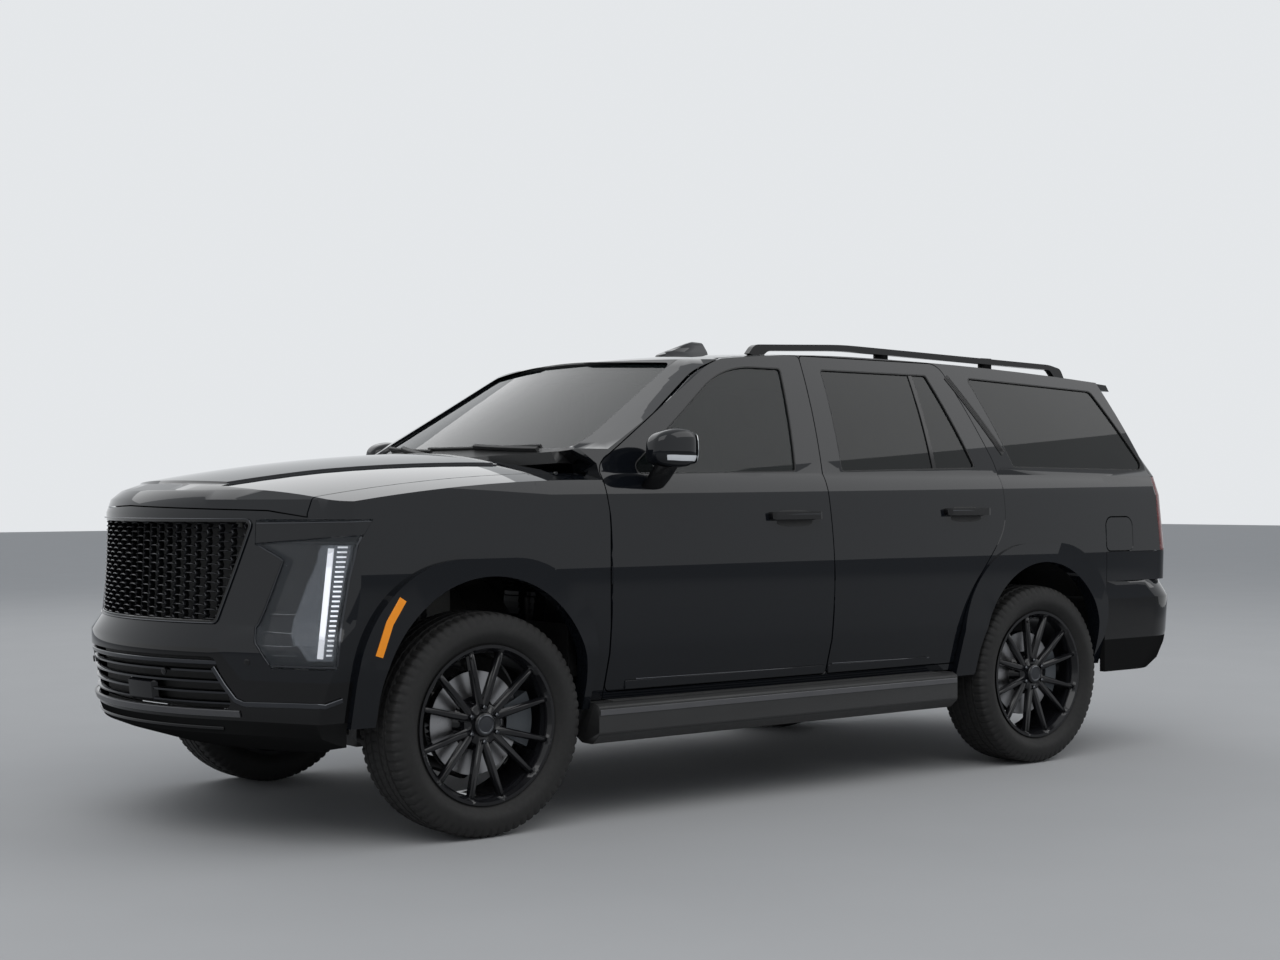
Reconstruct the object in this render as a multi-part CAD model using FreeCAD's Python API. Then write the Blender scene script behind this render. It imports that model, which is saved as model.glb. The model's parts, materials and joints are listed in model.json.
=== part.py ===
"""Full-size body-on-frame sport utility vehicle, in millimetres.

+X points forward, +Y to the vehicle's left, +Z up. The origin is on the ground, midway along the length.
Stations named xf are measured from the front axle and xr from the rear axle, both positive forward.
"""
import FreeCAD, Part
import math
import os
from types import SimpleNamespace

os.makedirs("parts", exist_ok=True)
doc = FreeCAD.newDocument("suv")
sheet = doc.addObject("Spreadsheet::Sheet", "Sizes")

SIZES = [  # alias, value in millimetres (degrees where the name says angle)
    ("overall_length", 5382), ("wheelbase", 3071), ("front_overhang", 1040),
    ("overall_width", 2059), ("overall_height", 1980), ("wheel_track", 1737),
    ("tyre_diameter", 833), ("tyre_width", 275), ("rim_diameter", 559), ("rim_width", 229),
    ("rim_offset", 28), ("spindle_radius", 30), ("spoke_pairs", 6), ("hub_radius", 82), ("disc_radius", 195),
    ("side_bow_radius", 100000), ("widest_station", 1750),
    ("sill_level", 430), ("sill_half_width", 942), ("skirt_level", 650), ("skirt_half_width", 1005),
    ("bulge_level", 760), ("bulge_half_width", 1017),
    ("crease_level", 1256), ("crease_half_width", 1004), ("belt_level", 1352), ("belt_half_width", 968),
    ("glass_mid_level", 1660), ("glass_mid_half_width", 888), ("cant_level", 2000), ("cant_half_width", 748),
    ("door_thickness", 118), ("door_skin", 26), ("door_step", 16), ("pillar_thickness", 46), ("panel_thickness", 28), ("inner_frame_thickness", 34),
    ("shut_gap", 5), ("glass_thickness", 5), ("glass_setback", 8), ("seat_clearance", 0.3),
    ("roof_peak_level", 1908), ("roof_peak_station", 2000), ("roof_front_radius", 7200), ("roof_rear_radius", 26700),
    ("roof_crown_radius", 8800), ("roof_thickness", 40), ("roof_half_width", 672),
    ("hood_rear_level", 1433), ("hood_mid_level", 1391), ("hood_front_level", 1292),
    ("hood_crown_radius", 4250), ("hood_half_width", 850), ("hood_rear_centre", 250), ("hood_rear_corner", 420),
    ("hood_hinge_station", 398), ("hood_hinge_level", 1346),
    ("nose_bow_radius", 1131), ("nose_bow_half_width", 545), ("nose_corner_radius", 200),
    ("nose_half_width", 1010), ("fascia_thickness", 40),
    ("tail_bow_radius", 4000), ("gate_overhang", 1129), ("gate_half_width", 872), ("gate_front", 600), ("gate_hinge_level", 1854.5),
    ("bumper_bow_radius", 2714), ("bumper_corner_radius", 300), ("bumper_half_width", 995),
    ("arch_radius", 446), ("rear_arch_radius", 425), ("front_arch_shift", 8), ("arch_level", 520), ("arch_foot", 440), ("liner_radius", 508),
    ("arch_front_reach", 553), ("arch_rear_reach", 470), ("arch_top", 1032),
    ("door_bottom_level", 500), ("sill_bottom_level", 470), ("front_door_front", 546), ("door_split", 1708),
    ("front_hinge_y", 1014), ("rear_hinge_y", 1020), ("hinge_pin_radius", 2.2), ("front_hinge_level", 920), ("rear_hinge_level", 828),
    ("floor_level", 560), ("rear_floor_level", 720), ("floor_thickness", 40),
    ("board_half_width", 1036), ("tail_corner_radius", 130), ("grille_rows", 11), ("grille_pitch", 92),
    ("mirror_reach", 1312), ("hood_dome_rise", 9),
    ("kingpin_half_width", 800),
    ("receiver_reach", 1236), ("receiver_outside", 64), ("receiver_bore", 50.8), ("receiver_level", 540),
    ("receiver_pin_radius", 8.1), ("receiver_pin_setback", 63.5),
    ("rail_half_spacing", 420), ("rail_width", 80), ("rail_height", 140),
]
for row, (alias, value) in enumerate(SIZES, start=1):
    sheet.set(f"A{row}", alias)
    sheet.set(f"B{row}", str(value))
    sheet.setAlias(f"B{row}", alias)
doc.recompute()
S = SimpleNamespace(**{alias: float(sheet.get(alias)) for alias, value in SIZES})

FRONT_AXLE = S.overall_length / 2 - S.front_overhang
REAR_AXLE = FRONT_AXLE - S.wheelbase
NOSE = S.overall_length / 2
TAIL = -S.overall_length / 2
WHEEL_LEVEL = S.tyre_diameter / 2
WHEEL_Y = S.wheel_track / 2
HALF_WIDTH = S.overall_width / 2
GATE_TAIL = REAR_AXLE - S.gate_overhang
FAR = 3000.0
nodes = {}


def vec(x, y, z):
    return FreeCAD.Vector(x, y, z)


def xf(station):
    """A station measured back from the front axle."""
    return FRONT_AXLE - station


def xr(station):
    """A station measured back from the rear axle."""
    return REAR_AXLE - station


# Outlines: closed runs of straight lines with rounded corners, drawn on one of the three main planes.
PLANES = {"xz": lambda u, v: vec(u, 0, v), "yz": lambda u, v: vec(0, u, v), "xy": lambda u, v: vec(u, v, 0)}
NORMALS = {"xz": vec(0, 1, 0), "yz": vec(1, 0, 0), "xy": vec(0, 0, 1)}


def outline(plane, corners):
    """A closed wire from corners (u, v, radius of the corner, 0 for a sharp one)."""
    put = PLANES[plane]
    pts = [FreeCAD.Vector(c[0], c[1], 0) for c in corners]
    radii = [c[2] if len(c) > 2 else 0 for c in corners]
    ends = []
    for i, p in enumerate(pts):
        back, on = pts[i - 1] - p, pts[(i + 1) % len(pts)] - p
        back.normalize()
        on.normalize()
        half = back.getAngle(on) / 2
        if radii[i] <= 0 or half > math.radians(89.9):
            ends.append((p, None, p))
            continue
        reach = radii[i] / math.tan(half)
        mid = back + on
        mid.normalize()
        ends.append((p + back * reach, p + mid * (radii[i] / math.sin(half) - radii[i]), p + on * reach))
    edges = []
    for i, (start, mid, end) in enumerate(ends):
        if mid is not None:
            edges.append(Part.Arc(put(start.x, start.y), put(mid.x, mid.y), put(end.x, end.y)).toShape())
        after = ends[(i + 1) % len(ends)][0]
        if (after - end).Length > 1e-6:
            edges.append(Part.LineSegment(put(end.x, end.y), put(after.x, after.y)).toShape())
    return Part.Wire(edges)


def grown(wire, by):
    return wire.makeOffset2D(by) if by else wire


def prism(plane, wire, low, high):
    """The solid that the outline sweeps from low to high along its plane's normal."""
    face = Part.Face(wire)
    face.translate(NORMALS[plane] * low)
    return face.extrude(NORMALS[plane] * (high - low))


def block(x0, x1, y0, y1, z0, z1):
    return Part.makeBox(abs(x1 - x0), abs(y1 - y0), abs(z1 - z0), vec(min(x0, x1), min(y0, y1), min(z0, z1)))


def mirrored(shape):
    return shape.mirror(vec(0, 0, 0), vec(0, 1, 0))


def both(shape):
    return Part.makeCompound([shape, mirrored(shape)])


def arc(a, b, c):
    return Part.Arc(a, b, c).toShape()


def line(a, b):
    return Part.LineSegment(a, b).toShape()


def tube(points, radius):
    """A round bar through the points, with a ball at each bend."""
    parts = []
    for a, b in zip(points, points[1:]):
        a, b = vec(*a), vec(*b)
        parts.append(Part.makeCylinder(radius, (b - a).Length, a, b - a))
        parts.append(Part.makeSphere(radius, b))
    return parts[0].multiFuse(parts[1:-1]) if len(parts) > 2 else parts[0]


def add(name, shape, keep=None):
    """Registers a sub-part as an object of the document."""
    solids = [s for s in shape.Solids if s.Volume > 100]
    if keep is not None:
        solids = sorted(solids, key=lambda s: -s.Volume)[:keep]
    made = solids[0] if len(solids) == 1 else Part.makeCompound(solids)
    feature = doc.addObject("Part::Feature", name)
    feature.Label = name
    feature.Shape = made
    nodes[name] = feature
    return made


# The body's outer surfaces, each as the solid that lies inside it, set in by a depth.
def side_section(low, up):
    """The widest half section: sill, bulge, crease, belt, glass and cant line, set in by low and up."""
    sill, bulge = vec(0, S.sill_half_width - low, S.sill_level), vec(0, S.bulge_half_width - low, S.bulge_level)
    crease = vec(0, S.crease_half_width - low, S.crease_level)
    shoulder_level = (S.crease_level + S.belt_level) / 2
    belt = vec(0, S.belt_half_width - up, S.belt_level)
    shoulder = vec(0, (crease.y + belt.y) / 2 + 6, shoulder_level)
    glass = vec(0, S.glass_mid_half_width - up, S.glass_mid_level)
    cant = vec(0, S.cant_half_width - up, S.cant_level)
    inner_low, inner_high = vec(0, -FAR / 2, S.sill_level), vec(0, -FAR / 2, S.cant_level)
    foot, inner_foot = vec(0, sill.y, 0), vec(0, -FAR / 2, 0)
    skirt = vec(0, S.skirt_half_width - low, S.skirt_level)
    edges = [line(inner_foot, foot), line(foot, sill), line(sill, skirt), arc(skirt, bulge, crease),
             arc(crease, shoulder, belt),
             arc(belt, glass, cant), line(cant, inner_high), line(inner_high, inner_foot)]
    return Part.Wire(edges)


def side_solid(low, up):
    """Everything inside both body sides: one section swept on a large arc, met with its mirror."""
    face = Part.Face(side_section(low, up))
    axis_point = vec(0, S.bulge_half_width - S.side_bow_radius, 0)
    angle = math.degrees(S.overall_length * 0.56 / S.side_bow_radius)
    face.rotate(axis_point, vec(0, 0, 1), -angle)
    left = face.revolve(axis_point, vec(0, 0, 1), 2 * angle)
    left.translate(vec(xf(S.widest_station), 0, 0))
    return left.common(mirrored(left))


def domed_solid(level, station, bow_radius, crown_radius, depth):
    """Everything under a surface with one large arc along the vehicle and another across it."""
    rise = crown_radius - math.sqrt(crown_radius ** 2 - HALF_WIDTH ** 2)
    top = level - depth
    left, right = vec(0, -HALF_WIDTH, top - rise), vec(0, HALF_WIDTH, top - rise)
    low_left, low_right = vec(0, -HALF_WIDTH, 0), vec(0, HALF_WIDTH, 0)
    wire = Part.Wire([line(low_left, left), arc(left, vec(0, 0, top), right), line(right, low_right),
                      line(low_right, low_left)])
    face = Part.Face(wire)
    centre = vec(0, 0, level - bow_radius)
    angle = math.degrees(S.overall_length * 0.6 / bow_radius)
    face.rotate(centre, vec(0, 1, 0), -angle)
    dome = face.revolve(centre, vec(0, 1, 0), 2 * angle)
    dome.translate(vec(station, 0, 0))
    return dome


def roof_solid(depth):
    """The roof falls faster ahead of its peak than behind it."""
    peak = xf(S.roof_peak_station)
    front = domed_solid(S.roof_peak_level, peak, S.roof_front_radius, S.roof_crown_radius, depth)
    rear = domed_solid(S.roof_peak_level, peak, S.roof_rear_radius, S.roof_crown_radius, depth)
    front = front.common(block(peak, NOSE, -HALF_WIDTH, HALF_WIDTH, 0, FAR))
    return front.fuse(rear.common(block(peak, TAIL - 500, -HALF_WIDTH, HALF_WIDTH, 0, FAR)))


# The hood's centre line is one arc through three levels.
HOOD_REAR_X, HOOD_MID_X, HOOD_FRONT_X = xf(330), xf(-305), xf(-940)


def hood_circle():
    circle = Part.Arc(vec(HOOD_REAR_X, 0, S.hood_rear_level), vec(HOOD_MID_X, 0, S.hood_mid_level),
                      vec(HOOD_FRONT_X, 0, S.hood_front_level)).toShape().Curve
    return circle.Center, circle.Radius


def hood_solid(depth):
    centre, radius = hood_circle()
    return domed_solid(centre.z + radius, centre.x, radius, S.hood_crown_radius, depth)


def nose_plan(level, shift, depth):
    """The nose seen from above: a bowed middle, straight cheeks and round corners."""
    bow, half = S.nose_bow_radius, S.nose_bow_half_width
    tip = NOSE - 50 + shift - depth
    slope = math.asin(half / bow)
    cheek_x = tip - bow * (1 - math.cos(slope))
    r = S.nose_corner_radius - depth
    side_y = S.nose_half_width - depth
    corner_y = side_y - r + r * math.sin(slope)
    corner_x = cheek_x - (corner_y - half) * math.tan(slope)
    side_x = corner_x - r * math.cos(slope)
    mid = (slope + math.pi / 2) / 2
    mid_x, mid_y = side_x + r * math.cos(mid), side_y - r + r * math.sin(mid)
    back = xf(S.front_door_front)
    pts = [(back, -side_y), (side_x, -side_y), (corner_x, -corner_y), (cheek_x, -half), (cheek_x, half),
           (corner_x, corner_y), (side_x, side_y), (back, side_y)]
    p = [vec(x, y, level) for x, y in pts]
    return Part.Wire([line(p[0], p[1]), arc(p[1], vec(mid_x, -mid_y, level), p[2]), line(p[2], p[3]),
                      arc(p[3], vec(tip, 0, level), p[4]), line(p[4], p[5]),
                      arc(p[5], vec(mid_x, mid_y, level), p[6]), line(p[6], p[7]), line(p[7], p[0])])


NOSE_LEVELS = [  # level, how far the nose stands forward there
    (330, -230), (385, -60), (410, 0), (500, 32), (690, 50), (745, 50), (805, 5), (1000, -5), (1200, -12), (1250, -30),
    (1285, -75), (1310, -150), (1500, -320)]


def nose_solid(depth):
    return Part.makeLoft([nose_plan(level, shift, depth) for level, shift in NOSE_LEVELS], True, True)


def windscreen_front(depth):
    """Everything in front of the windscreen: a ruled face between a low and a high arc, pushed forward."""
    base = [(xf(521), 806, 1436), (xf(330), 0, 1415)]
    head = [(xf(1126), 667, 1817), (xf(1040), 0, 1850)]
    arcs = []
    for (cx, cy, cz), (mx, _, mz) in (base, head):
        wide = 1150.0
        sag = (mx - cx) * (wide / cy) ** 2
        drop = (cz - mz) * (wide / cy) ** 2
        arcs.append([vec(mx - sag, -wide, mz + drop), vec(mx, 0, mz), vec(mx - sag, wide, mz + drop)])
    up = [(h - b) * 0.75 for b, h in zip(arcs[0], arcs[1])]
    high = [h + u for h, u in zip(arcs[1], up)]
    low = arcs[0]
    face = Part.makeRuledSurface(arc(*low), arc(*high))
    face.translate(vec(-depth, 0, -depth * 1.2))
    return face.extrude(vec(FAR, 0, 0))


TAIL_PROFILE = [  # how far the gate's surface stands ahead of its rearmost point, level
    (60, 0), (5, 820), (0, 1000), (30, 1338), (423, 1862), (540, 2010)]


TAIL_SIDES = [  # level, half width of the body side at the tail, share of the corner radius
    (700, 986, 1.0), (985, 990, 1.0), (1256, 975, 1.0), (1352, 940, 0.85), (1862, 738, 0.22)]


def tail_ahead(level):
    """How far the gate's surface stands ahead of its rearmost point at a level."""
    for (ahead, low), (ahead_on, high) in zip(TAIL_PROFILE, TAIL_PROFILE[1:]):
        if low <= level <= high:
            return ahead + (ahead_on - ahead) * (level - low) / (high - low)
    return TAIL_PROFILE[-1][0]


def tail_corner(depth):
    """What the rear corner's rounding takes away between the tail and the left side."""
    wires = []
    for level, side, share in TAIL_SIDES:
        bow = S.tail_bow_radius - depth
        centre_x = GATE_TAIL + tail_ahead(level) + S.tail_bow_radius
        r = S.tail_corner_radius * share - depth
        y_mid = side - depth - r
        x_mid = centre_x - math.sqrt((bow - r) ** 2 - y_mid ** 2)
        lean = math.asin(y_mid / (bow - r))
        start = vec(x_mid, y_mid + r, level)
        end = vec(x_mid - r * math.cos(lean), y_mid + r * math.sin(lean), level)
        half = (math.pi / 2 + lean) / 2
        middle = vec(x_mid - r * math.cos(half), y_mid + r * math.sin(half), level)
        far_x, far_y = GATE_TAIL - 400, side + 400
        corners = [end, vec(far_x, end.y - (end.x - far_x) * 0.2, level), vec(far_x, far_y, level), vec(start.x, far_y, level), start]
        wires.append(Part.Wire([arc(start, middle, end)] + [line(a, b) for a, b in zip(corners, corners[1:])]))
    return Part.makeLoft(wires, True, True)


def tail_solid(depth):
    """Everything ahead of the gate's surface, bowed across the vehicle and rounded at its corners."""
    radius = S.tail_bow_radius
    rim = [vec(radius - ahead - depth, 0, level) for ahead, level in TAIL_PROFILE]
    pts = [vec(0, 0, rim[0].z)] + rim + [vec(0, 0, rim[-1].z)]
    face = Part.Face(Part.makePolygon(pts + [pts[0]]))
    solid = face.revolve(vec(0, 0, 0), vec(0, 0, 1), 360)
    solid.translate(vec(GATE_TAIL + radius, 0, 0))
    if depth > S.tail_corner_radius * 0.4 or depth < 0:
        return solid
    corner = tail_corner(depth)
    return solid.cut(corner).cut(mirrored(corner))


def cabin_solid(low, up, roof, screen, tail):
    solid = side_solid(low, up).common(roof_solid(roof)).common(tail_solid(tail))
    solid = solid.cut(windscreen_front(screen))
    front = block(xf(262), NOSE + 100, -FAR, FAR, 0, FAR)
    return solid.cut(front)


# Outlines seen from the side, in the order bottom front, up the front, along the top and down the rear.
def front_door_outline():
    front, split, low = xf(S.front_door_front), xf(S.door_split - S.shut_gap / 2), S.door_bottom_level
    return outline("xz", [(front, low, 30), (front, 1180, 300), (front + 24, 1383, 60), (xf(1247), 1862, 700),
                          (split + 3, 1862, 20), (split + 8, 1352, 0), (split - 12, 900, 0), (split - 12, low, 20)])


def rear_door_outline():
    split, low = xf(S.door_split - S.shut_gap / 2), S.door_bottom_level
    return outline("xz", [(split - 12, low, 20), (split - 12, 900, 0), (split + 8, 1352, 0), (split + 3, 1862, 20),
                          (xr(-501), 1862, 90), (xr(-256), 1370, 300), (xr(-259), 1110, 250),
                          (xr(-525), 800, 420), (xr(-527), low, 25)])


def front_window_outline():
    return outline("xz", [(xf(640), 1342, 30), (xf(1245), 1803, 500), (xf(1577), 1803, 16), (xf(1549), 1358, 16)])


def rear_window_outline():
    return outline("xz", [(xf(1812), 1360, 16), (xf(1806), 1807, 16), (xr(-601), 1807, 16), (xr(-402), 1380, 16)])


def quarter_window_outline():
    return outline("xz", [(xr(-141), 1386, 20), (xr(-336), 1806, 20), (xr(569), 1772, 45), (xr(870), 1378, 30)])


def fuel_door_outline():
    return outline("xz", [(xr(473), 985, 30), (xr(473), 1150, 45), (xr(680), 1150, 45), (xr(680), 985, 30)])


def arch_cut(axle, radius, foot=0.0, shift=None):
    """A wheel arch's hole seen from the side: a half circle on straight legs."""
    centre, low = axle + (S.front_arch_shift if shift is None else shift), S.arch_level
    wire = Part.Wire([arc(vec(centre + radius, 0, low), vec(centre, 0, low + radius), vec(centre - radius, 0, low)),
                      line(vec(centre - radius, 0, low), vec(centre - radius, 0, foot)),
                      line(vec(centre - radius, 0, foot), vec(centre + radius, 0, foot)),
                      line(vec(centre + radius, 0, foot), vec(centre + radius, 0, low))])
    return prism("xz", wire, 0, FAR / 2)


def arch_outline(axle, foot, grow):
    """The outer edge of an arch moulding: wide in front, narrow behind, with big round corners."""
    front, rear, top = axle + S.arch_front_reach + grow, axle - S.arch_rear_reach - grow, S.arch_top + grow
    wire = outline("xz", [(front, foot, 0), (front, top, 430), (rear, top, 380), (rear, foot, 0)])
    return prism("xz", wire, 0, FAR / 2)


def shell(outside, inside):
    return outside.cut(inside)


gap = S.shut_gap / 2
left_half = block(TAIL - 100, NOSE + 100, 0, FAR / 2, 0, FAR)
AXLES = (FRONT_AXLE, REAR_AXLE)

# Cabin envelopes from outside in: the skin, the door depth, the frame that the doors close on, the room inside
outer = cabin_solid(0, 0, 0, 0, 0)
door_depth = cabin_solid(S.door_thickness, S.pillar_thickness, S.roof_thickness, 38, 60)
door_layer = cabin_solid(S.door_thickness, S.pillar_thickness, -5, -5, 60)
frame_start = cabin_solid(S.door_thickness + S.shut_gap, S.pillar_thickness + S.shut_gap, -5, -5, 60)
frame_depth = S.door_thickness + S.shut_gap + S.inner_frame_thickness
cabin_inside = cabin_solid(frame_depth, S.pillar_thickness + S.shut_gap + S.inner_frame_thickness,
                           S.roof_thickness + 30, 70, 100)
skin = outer.cut(door_depth)
left_skin = skin.common(left_half)
left_wall = outer.cut(cabin_inside).common(left_half)

moulding_cuts = [arch_outline(axle, 0, 0) for axle in AXLES]
door_arch_cuts = [arch_outline(axle, 0, S.shut_gap) for axle in AXLES]
openings = {"front": front_door_outline(), "rear": rear_door_outline()}
windows = {"front": front_window_outline(), "rear": rear_window_outline()}

# Doors, their glass and mirrors
DOOR_INNER_Y = 705
door_prisms = {k: prism("xz", grown(w, -gap), DOOR_INNER_Y, FAR / 2) for k, w in openings.items()}
door_cores = {k: prism("xz", grown(w, -S.door_step), DOOR_INNER_Y, FAR / 2) for k, w in openings.items()}
door_holes = {k: prism("xz", grown(w, gap), DOOR_INNER_Y - 5, FAR / 2) for k, w in openings.items()}
door_skin = outer.cut(cabin_solid(S.door_skin, S.door_skin, -5, -5, 60)).common(left_half)
door_wall = outer.cut(door_layer).common(left_half)
MOULDING_ROOM = 13
window_holes = {k: prism("xz", w, 1, FAR / 2) for k, w in windows.items()}
glass_skin = side_solid(S.glass_setback, S.glass_setback).cut(
    side_solid(S.glass_setback + S.glass_thickness, S.glass_setback + S.glass_thickness)).common(left_half)
side_outer = side_solid(0, 0)


def side_y(x, level):
    """Half width of the body side at a place."""
    probe = Part.makeLine(vec(x, 0, level), vec(x, FAR / 2, level))
    return max(v.Point.y for v in side_outer.common(probe).Vertexes)


def door_handle(front_x, level):
    """A strap handle that stands off the skin on two feet, its ends rounded."""
    y = side_y(front_x - HANDLE_LENGTH / 2, level)
    plan = outline("xy", [(front_x, y - 20, 0), (front_x, y + HANDLE_STAND, 26), (front_x - HANDLE_LENGTH, y + HANDLE_STAND, 26),
                          (front_x - HANDLE_LENGTH, y - 20, 0), (front_x - HANDLE_LENGTH + 46, y - 20, 0),
                          (front_x - HANDLE_LENGTH + 50, y + HANDLE_STAND - 14, 12),
                          (front_x - 50, y + HANDLE_STAND - 14, 12), (front_x - 46, y - 20, 0)])
    strap = prism("xy", plan, level - HANDLE_HEIGHT / 2, level + HANDLE_HEIGHT / 2)
    side = outline("xz", [(front_x, level - HANDLE_HEIGHT / 2, 12), (front_x, level + HANDLE_HEIGHT / 2, 12),
                          (front_x - HANDLE_LENGTH, level + HANDLE_HEIGHT / 2, 12),
                          (front_x - HANDLE_LENGTH, level - HANDLE_HEIGHT / 2, 12)])
    return strap.common(prism("xz", side, 1, FAR / 2)).cut(side_outer)


HANDLE_LENGTH, HANDLE_STAND, HANDLE_HEIGHT = 284, 36, 32
HANDLES = {"front": (xf(1352), 1176), "rear": (xf(2400), 1184)}
HINGES = {"front": (xf(S.front_door_front), S.front_hinge_y, S.front_hinge_level),
          "rear": (xf(S.door_split + 10), S.rear_hinge_y, S.rear_hinge_level)}


def hinge_pin(place):
    """A slim upright pin in the shut gap, on the hinge's axis, with its web to the door."""
    x, y, level = HINGES[place]
    pin = Part.makeCylinder(S.hinge_pin_radius, 70, vec(x, y, level), vec(0, 0, 1))
    web = block(x - 12, x, y - S.hinge_pin_radius, y - 0.5, level, level + 70)
    return [pin, web]


cowl_room = block(xf(705), xf(250), 0, 795, 1295, 1455)
MOULDING_ENDS = {"front": (xf(644), xf(S.door_split - 8)), "rear": (xf(S.door_split + 16), xf(2322))}
moulding_band = side_solid(-7, -7).cut(side_solid(4, 4)).common(prism("xz", outline("xz", [
    (xf(600), 506, 0), (xf(600), 538, 0), (xf(2400), 538, 0), (xf(2400), 506, 0)]), 1, FAR / 2))
# The front door's rear edge stays inside the circle that it can swing through past the rear door's front edge
SWEEP_CLEARANCE = 3
sweep_x, sweep_y, _ = HINGES["front"]
rear_edges = [(vec(xf(S.door_split) + 5, 0, S.belt_level), S.belt_half_width), (vec(xf(S.door_split), 0, 1862), 773)]
sweep_radii = [math.hypot(sweep_x - p.x, sweep_y - y) - SWEEP_CLEARANCE for p, y in rear_edges]
lift = (sweep_radii[1] - sweep_radii[0]) / (1862 - S.belt_level)
front_door_sweep = Part.makeCone(sweep_radii[0], sweep_radii[0] + lift * 700, 700, vec(sweep_x, sweep_y, S.belt_level),
                                 vec(0, 0, 1)).fuse(block(sweep_x + 50, xf(S.door_split + 4), 0, FAR, 0, S.belt_level))
front_door_sweep = front_door_sweep.fuse(block(sweep_x + 50, sweep_x - 800, 0, FAR, 0, FAR))
for place in ("front", "rear"):
    core = door_wall.common(door_cores[place]).cut(arch_outline(REAR_AXLE, 0, S.shut_gap + MOULDING_ROOM))
    door = door_skin.common(door_prisms[place]).fuse(core)
    door = door.cut(window_holes[place])
    for cut in door_arch_cuts + [cowl_room]:
        door = door.cut(cut)
    if place == "front":
        door = door.common(front_door_sweep)
    door = door.fuse(moulding_band.common(block(*MOULDING_ENDS[place], 0, FAR, 0, FAR)))
    door = door.multiFuse(hinge_pin(place))
    handle = door_handle(*HANDLES[place])
    add(f"{place}_handle_left", handle, 1)
    add(f"{place}_handle_right", mirrored(handle), 1)
    glass = glass_skin.common(prism("xz", grown(windows[place], -S.seat_clearance), 1, FAR / 2))
    add(f"{place}_door_left", door, 1)
    add(f"{place}_door_right", mirrored(door), 1)
    add(f"{place}_door_glass_left", glass, 1)
    add(f"{place}_door_glass_right", mirrored(glass), 1)

reach = S.mirror_reach
mirror_plan = prism("xy", outline("xy", [(xf(588), 1086, 30), (xf(612), 1180, 300), (xf(728), reach, 70), (xf(812), reach, 22),
                                         (xf(772), 1086, 22)]), 1200, 1600)
mirror_face = prism("yz", outline("yz", [(1086, 1318, 50), (1086, 1470, 50), (1140, 1512, 80), (reach, 1502, 55),
                                         (reach, 1370, 60), (1280, 1322, 60), (1180, 1276, 60)]), xf(900), xf(500))
mirror_side = prism("xz", outline("xz", [(xf(586), 1270, 60), (xf(586), 1514, 70), (xf(816), 1514, 30), (xf(816), 1270, 30)]),
                    1000, 1400)
mirror_shell = mirror_plan.common(mirror_face).common(mirror_side)
mirror_arm = prism("yz", outline("yz", [(940, 1262, 0), (940, 1350, 0), (1010, 1352, 20), (1120, 1400, 0), (1160, 1400, 0),
                                        (1160, 1310, 0), (1070, 1262, 40)]), xf(742), xf(640))
mirror_foot = prism("xz", outline("xz", [(xf(622), 1262, 10), (xf(640), 1348, 10), (xf(760), 1348, 20), (xf(765), 1262, 10)]),
                    950, 1012)
mirror = mirror_shell.multiFuse([mirror_arm, mirror_foot])
mirror = mirror.cut(side_solid(-S.seat_clearance, -S.seat_clearance))
add("mirror_left", mirror, 1)
add("mirror_right", mirrored(mirror), 1)

# Openings in the shell: windscreen, tailgate, roof panel, hood and fuel door
def plan_prism(front, rear, half, low, high):
    return block(rear, front, -half, half, low, high)


screen_wire = outline("yz", [(-806, 1436, 60), (-667, 1817, 50), (0, 1852, 5000), (667, 1817, 50), (806, 1436, 60)])
screen_hole = prism("yz", screen_wire, xf(1500), NOSE)
gate_wire = outline("yz", [(-S.gate_half_width, 845, 30), (-S.gate_half_width, 1340, 60), (-690, 1830, 60),
                           (-690, 2100, 0), (690, 2100, 0), (690, 1830, 60), (S.gate_half_width, 1340, 60),
                           (S.gate_half_width, 845, 30)])
gate_hole = prism("yz", grown(gate_wire, gap), TAIL - 100, xr(S.gate_front) + gap)
hood_rear = Part.Wire([
    arc(vec(xf(S.hood_rear_corner), -900, 0), vec(xf(S.hood_rear_centre), 0, 0), vec(xf(S.hood_rear_corner), 900, 0)),
    line(vec(xf(S.hood_rear_corner), 900, 0), vec(NOSE + 50, 900, 0)),
    line(vec(NOSE + 50, 900, 0), vec(NOSE + 50, -900, 0)),
    line(vec(NOSE + 50, -900, 0), vec(xf(S.hood_rear_corner), -900, 0))])
hood_plan = prism("xy", hood_rear, 1100, 1600)
hood_plan_gap = prism("xy", grown(hood_rear, S.shut_gap + 4), 1100, 1600)
fuel_wire = fuel_door_outline()

# Body side: one wall with stepped door openings
side_view = prism("xz", outline("xz", [
    (xf(S.front_door_front), S.sill_bottom_level, 0), (xf(S.front_door_front), 1183, 0), (xf(517), 1385, 0),
    (xf(430), 1450, 0), (xf(1127), 2000, 0), (xr(1040), 2000, 0), (xr(1040), S.sill_bottom_level, 0)]), 1, FAR / 2)
body_side = left_wall.common(side_view)
for hole in door_holes.values():
    body_side = body_side.cut(hole.cut(frame_start))
frame_openings = [
    outline("xz", [(xf(600), 600, 60), (xf(600), 1360, 60), (xf(1260), 1800, 500), (xf(1630), 1800, 40),
                   (xf(1640), 600, 60)]),
    outline("xz", [(xf(1780), 600, 60), (xf(1770), 1800, 40), (xr(-560), 1800, 60), (xr(-340), 1360, 250),
                   (xr(-600), 800, 250), (xr(-610), 600, 40)]),
    quarter_window_outline()]
for wire in frame_openings:
    body_side = body_side.cut(prism("xz", wire, 1, FAR / 2))
fin_x = HINGES["rear"][0]
fin = block(fin_x - 1.5, fin_x + 1.5, 860, S.rear_hinge_y - S.hinge_pin_radius - S.seat_clearance,
            S.rear_hinge_level, S.rear_hinge_level + 70)
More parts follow.
